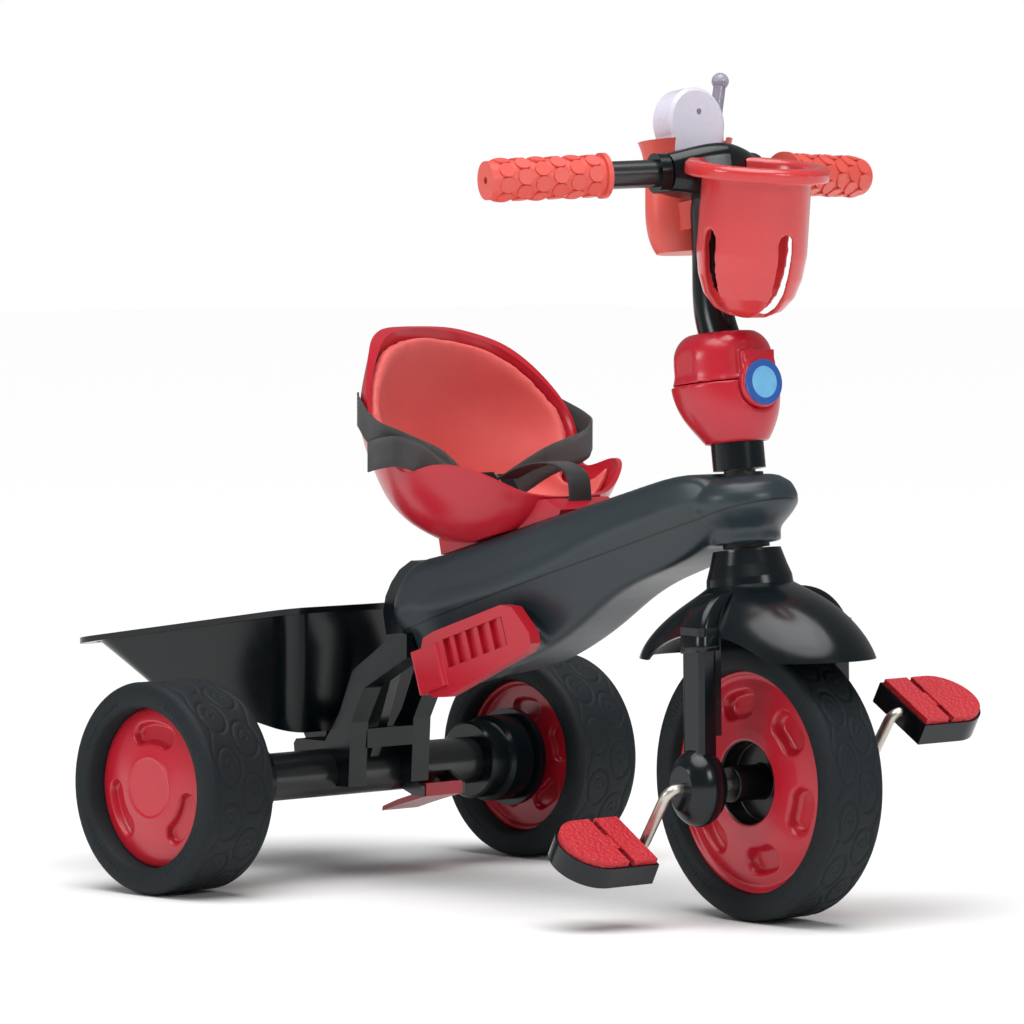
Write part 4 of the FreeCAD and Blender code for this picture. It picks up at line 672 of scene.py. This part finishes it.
# ---- steel ------------------------------------------------------------------------------
# The axle tube, main frame, crown and handlebar are painted tube; cranks and rods are zinc plated.
black_paint = Finish("black paint on steel", Coat_Weight=0.4, Coat_Roughness=0.12)
black_paint.base(black_paint.blend(black_paint.noise(25, 4), (0.004, 0.0055, 0.0065, 1),
                                   (0.009, 0.011, 0.0125, 1)))
black_paint.rough(black_paint.noise(140, 5) * 0.15 + 0.24)
black_paint.relief(black_paint.noise(420, 2), 0.00012, 0.4)
wear(black_paint, ["rear_axle_tube", "main_frame", "steerer_crown", "handlebar_tube"])

zinc = Finish("zinc plate", Metallic=1.0)
zinc.base(zinc.blend(zinc.noise(45, 6), (0.46, 0.43, 0.38, 1), (0.68, 0.66, 0.60, 1)))
zinc.rough(zinc.noise(160, 5) * 0.25 + 0.24)
zinc.relief(zinc.noise(500, 4), 0.0001, 0.4)
wear(zinc, ["rear_axle_rod", "axle_retainers", "crank_axle", "body_screws", "fork_inserts"])

nylon = moulded("black nylon", (0.006, 0.007, 0.008, 1), 0.5, 800, 0.0001)
wear(nylon, ["headset_bushes"])

# ---- toy phone --------------------------------------------------------------------------
# Two pale lilac shells, a row of keys and a clear smoky antenna.
lilac_plastic = moulded("pale lilac plastic", (0.72, 0.69, 0.80, 1), 0.28, 900, 0.00006, 0.2)
wear(lilac_plastic, ["phone_front_shell", "phone_back_shell"])
key_plastic = moulded("grey key plastic", (0.30, 0.30, 0.38, 1), 0.45, 900, 0.0001)
wear(key_plastic, ["phone_keypad"])
smoky_plastic = Finish("smoky clear plastic", Transmission_Weight=0.55, IOR=1.46)
smoky_plastic.base(smoky_plastic.blend(smoky_plastic.noise(60, 2), (0.42, 0.38, 0.50, 1),
                                       (0.60, 0.56, 0.66, 1)))
smoky_plastic.rough(smoky_plastic.noise(120, 3) * 0.08 + 0.10)
wear(smoky_plastic, ["phone_antenna"])

# ---- clamp emblem -----------------------------------------------------------------------
# A round plate on the clamp: a blue ring round a paler plain disc.
emblem_low, emblem_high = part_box("clamp_emblem")
emblem_paint = Finish("emblem enamel", Coat_Weight=0.6, Coat_Roughness=0.08)
emblem_middle = (emblem_low + emblem_high) / 2
emblem_place = emblem_paint.node("ShaderNodeVectorMath", {"operation": "DISTANCE"},
                                 {0: emblem_paint.place(), 1: emblem_middle}, output="Value")
emblem_ring = emblem_place.join("GREATER_THAN", emblem_place, 0.0125)
emblem_sky = emblem_paint.blend(emblem_paint.noise(70, 2), (0.10, 0.36, 0.66, 1), (0.22, 0.55, 0.80, 1))
emblem_paint.base(emblem_paint.blend(emblem_ring, emblem_sky, (0.02, 0.10, 0.38, 1)))
emblem_paint.rough(emblem_paint.noise(200, 3) * 0.1 + 0.2)
wear(emblem_paint, ["clamp_emblem"])

# ---- seat liner --------------------------------------------------------------------------
# A soft coral vinyl liner, padded with foam and pressed into the red shell.
vinyl = Finish("coral vinyl", Sheen_Weight=0.15)
vinyl_colour = (0.74, 0.105, 0.095, 1)
vinyl.base(vinyl.blend(vinyl.noise(30, 4), shade(vinyl_colour, 0.93), shade(vinyl_colour, 1.07)))
vinyl.rough(vinyl.noise(250, 4) * 0.15 + 0.45)
grain = vinyl.node("ShaderNodeTexVoronoi", {"feature": "DISTANCE_TO_EDGE"},
                   {"Vector": vinyl.place(), "Scale": 620.0}, output="Distance")
vinyl.relief(grain, 0.00025, 0.5)


liner = merged_copy(["seat_pad"], "seat_liner")
remesh = liner.modifiers.new("remesh", "REMESH")
remesh.mode = "VOXEL"
remesh.voxel_size = 0.0036
finished(liner)
before = np.array([vertex.co for vertex in liner.data.vertices])
cloth = liner.modifiers.new("cloth", "CLOTH")
cloth.settings.use_pressure = True
cloth.settings.uniform_pressure_force = 4
cloth.settings.effector_weights.gravity = 0
cloth.settings.tension_stiffness = 40
for number in range(1, 16):
    scene.frame_set(number)
finished(liner)
scene.frame_set(1)
liner_cap = 0.003
after = np.array([vertex.co for vertex in liner.data.vertices])
move = after - before
size = np.linalg.norm(move, axis=1, keepdims=True)
after = before + move * np.minimum(1.0, liner_cap / np.maximum(size, 1e-9))
for vertex, place in zip(liner.data.vertices, after):
    vertex.co = place
relax = liner.modifiers.new("relax", "SMOOTH")
relax.factor = 0.5
relax.iterations = 14
finished(liner)
liner.data.materials.clear()
liner.data.materials.append(vinyl.material)
liner.data.shade_smooth()
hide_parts("seat_pad")
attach(liner, "seat")

# ---- lap belt ----------------------------------------------------------------------------
# Three straps of woven black polyester, joined by a side-release buckle.
webbing = Finish("black woven polyester", Sheen_Weight=0.3)
webbing.base(webbing.blend(webbing.noise(500, 3), (0.006, 0.0065, 0.007, 1), (0.014, 0.015, 0.016, 1)))
webbing.rough(webbing.noise(400, 2) * 0.1 + 0.75)
strap_face = webbing.node("ShaderNodeUVMap", {"uv_map": "weave"})
ribs = webbing.node("ShaderNodeTexWave", {"wave_type": "BANDS", "bands_direction": "X"},
                    {"Vector": strap_face, "Scale": 90.0, "Distortion": 0.0})
crossing = webbing.node("ShaderNodeTexWave", {"wave_type": "BANDS", "bands_direction": "Y"},
                        {"Vector": strap_face, "Scale": 45.0, "Distortion": 0.0})
webbing.relief(ribs * 0.7 + crossing * 0.3, 0.0006, 0.9)

rear_axle_ahead = Vector((-0.186, 0, 0))


def smooth_run(rows, count):
    """Points along a smooth curve through the given rows of numbers."""
    rows = np.array(rows, float)
    padded_rows = np.vstack([2 * rows[0] - rows[1], rows, 2 * rows[-1] - rows[-2]])
    run = []
    spans = len(rows) - 1
    for step in range(count):
        share = spans * step / (count - 1)
        span = min(int(share), spans - 1)
        t = share - span
        a, b, c, d = padded_rows[span:span + 4]
        run.append(0.5 * (2 * b + (c - a) * t + (2 * a - 5 * b + 4 * c - d) * t ** 2
                          + (3 * b - a - 3 * c + d) * t ** 3))
    return np.array(run)


def strap(name, stations, width=0.025, thickness=0.0016):
    """A flat strap with rounded edges through stations of (point, width way, face way)."""
    rows = [list(point) + list(Vector(wide).normalized()) + list(Vector(face).normalized())
            for point, wide, face in stations]
    run = smooth_run(rows, 90)
    half = width / 2
    section = [(-1.0, 0.0), (-0.97, 0.5), (-0.5, 0.5), (0.0, 0.5), (0.5, 0.5), (0.97, 0.5),
               (1.0, 0.0), (0.97, -0.5), (0.5, -0.5), (0.0, -0.5), (-0.5, -0.5), (-0.97, -0.5)]
    vertices = []
    for row in run:
        point = Vector(row[0:3]) / 1000 + rear_axle_ahead
        wide = Vector(row[3:6]).normalized()
        face = Vector(row[6:9])
        face = (face - wide * face.dot(wide)).normalized()
        for across, out in section:
            vertices.append(point + wide * (across * half) + face * (out * thickness))
    count = len(section)
    faces = grid_faces(len(run), count, False, True)
    faces.append(tuple(range(count)))
    faces.append(tuple(reversed(range(len(vertices) - count, len(vertices)))))
    made = piece(name, vertices, faces, webbing)
    mesh = bmesh.new()
    mesh.from_mesh(made.data)
    bmesh.ops.recalc_face_normals(mesh, faces=mesh.faces)
    layer = mesh.loops.layers.uv.new("weave")
    travelled = np.concatenate([[0], np.cumsum(np.linalg.norm(np.diff(run[:, :3], axis=0), axis=1))]) / 25
    for face in mesh.faces:
        for loop in face.loops:
            index = loop.vert.index
            loop[layer].uv = (travelled[index // count], section[index % count][0] / 2)
    mesh.to_mesh(made.data)
    mesh.free()
    return made


def beside_seat(x, off):
    """How far out from the middle the seat's outer wall is at x, plus a distance."""
    reach = (x - 165.0) / 106.0
    return 120.0 * math.sqrt(1 - reach * reach) + off


upright = (0, 0, 1)


def lap_strap(name, side, end):
    stations = []
    for x, off, z in ((98, 1.6, 398), (108, 2.2, 395), (120, 2.8, 391), (132, 3.4, 385), (144, 3.0, 379)):
        stations.append(((x, side * beside_seat(x, off), z), upright, (-0.45, side * 0.9, 0)))
    stations += [((154, side * beside_seat(154, 0.0), 374), upright, (0.3, side * 0.95, 0)),
                 ((161, side * 112, 370), upright, (0.9, side * 0.5, 0)),
                 ((168, side * 96, 363), (-0.1, 0, 1), (0.95, side * 0.3, 0.1)),
                 ((175, (side * 96 + end[1]) / 2, 352), (-0.2, 0, 1), (0.95, side * 0.25, 0.2)),
                 (end, (-0.5, 0, 0.85), (0.85, side * 0.2, 0.5))]
    return strap(name, stations)


belt_right = lap_strap("lap_strap_right", -1, (180, -45.5, 334))
belt_left = lap_strap("lap_strap_left", 1, (180, 1.5, 334))
belt_tail = strap("lap_strap_tail", [((182, -46.5, 328), (-0.5, 0, 0.85), (0.85, -0.2, 0.5)),
                                     ((180, -72, 343), (-0.2, 0, 1), (0.95, -0.25, 0.2)),
                                     ((177, -100, 358), upright, (0.9, -0.4, 0)),
                                     ((171, -118, 364), upright, (0.6, -0.8, 0)),
                                     ((160, -124.5, 363), upright, (0.1, -1, 0)),
                                     ((149, -124, 361), upright, (-0.25, -1, 0)),
                                     ((138, -120.5, 359), upright, (-0.4, -0.9, 0))])
crotch = strap("crotch_belt", [((260, 0, 306), (0, 1, 0), (1, 0, 0)), ((260, 0, 332), (0, 1, 0), (1, 0, 0)),
                               ((256, 0, 345), (0, 1, 0), (0.8, 0, 0.5)),
                               ((246, -2, 352), (0, 1, 0), (0.4, 0, 0.9)),
                               ((232, -6, 354), (0, 1, 0), (0, 0, 1)),
                               ((214, -12, 350), (0, 1, 0), (-0.3, 0, 1)),
                               ((194, -18, 340.5), (0, 1, 0), (-0.5, 0, 1))])
for made, node in ((belt_right, "waist_strap_right"), (belt_left, "waist_strap_left"),
                   (crotch, "crotch_strap"), (belt_tail, "waist_strap_right")):
    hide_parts(node)
    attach(made, "seat")

# Black stitching runs across each strap near its ends.
thread = Finish("black thread", Sheen_Weight=0.2)
thread.base(thread.blend(thread.noise(900, 2), (0.018, 0.018, 0.02, 1), (0.05, 0.05, 0.052, 1)))
thread.rough(thread.noise(900, 2) * 0.1 + 0.7)
stitch_rows = []
strap_points = 12
for made, rings in ((belt_right, (4, 8, 80, 84)), (belt_left, (4, 8, 80, 84)), (crotch, (30, 34, 80, 84))):
    for ring in rings:
        run = [made.data.vertices[ring * strap_points + index].co for index in (1, 2, 3, 4, 5)]
        stitch_rows.append(run)
stitches = blocks("belt_stitches", stitch_rows, 0.0032, 0.0024, 0.0006, 0.0006, thread)
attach(stitches, "seat")
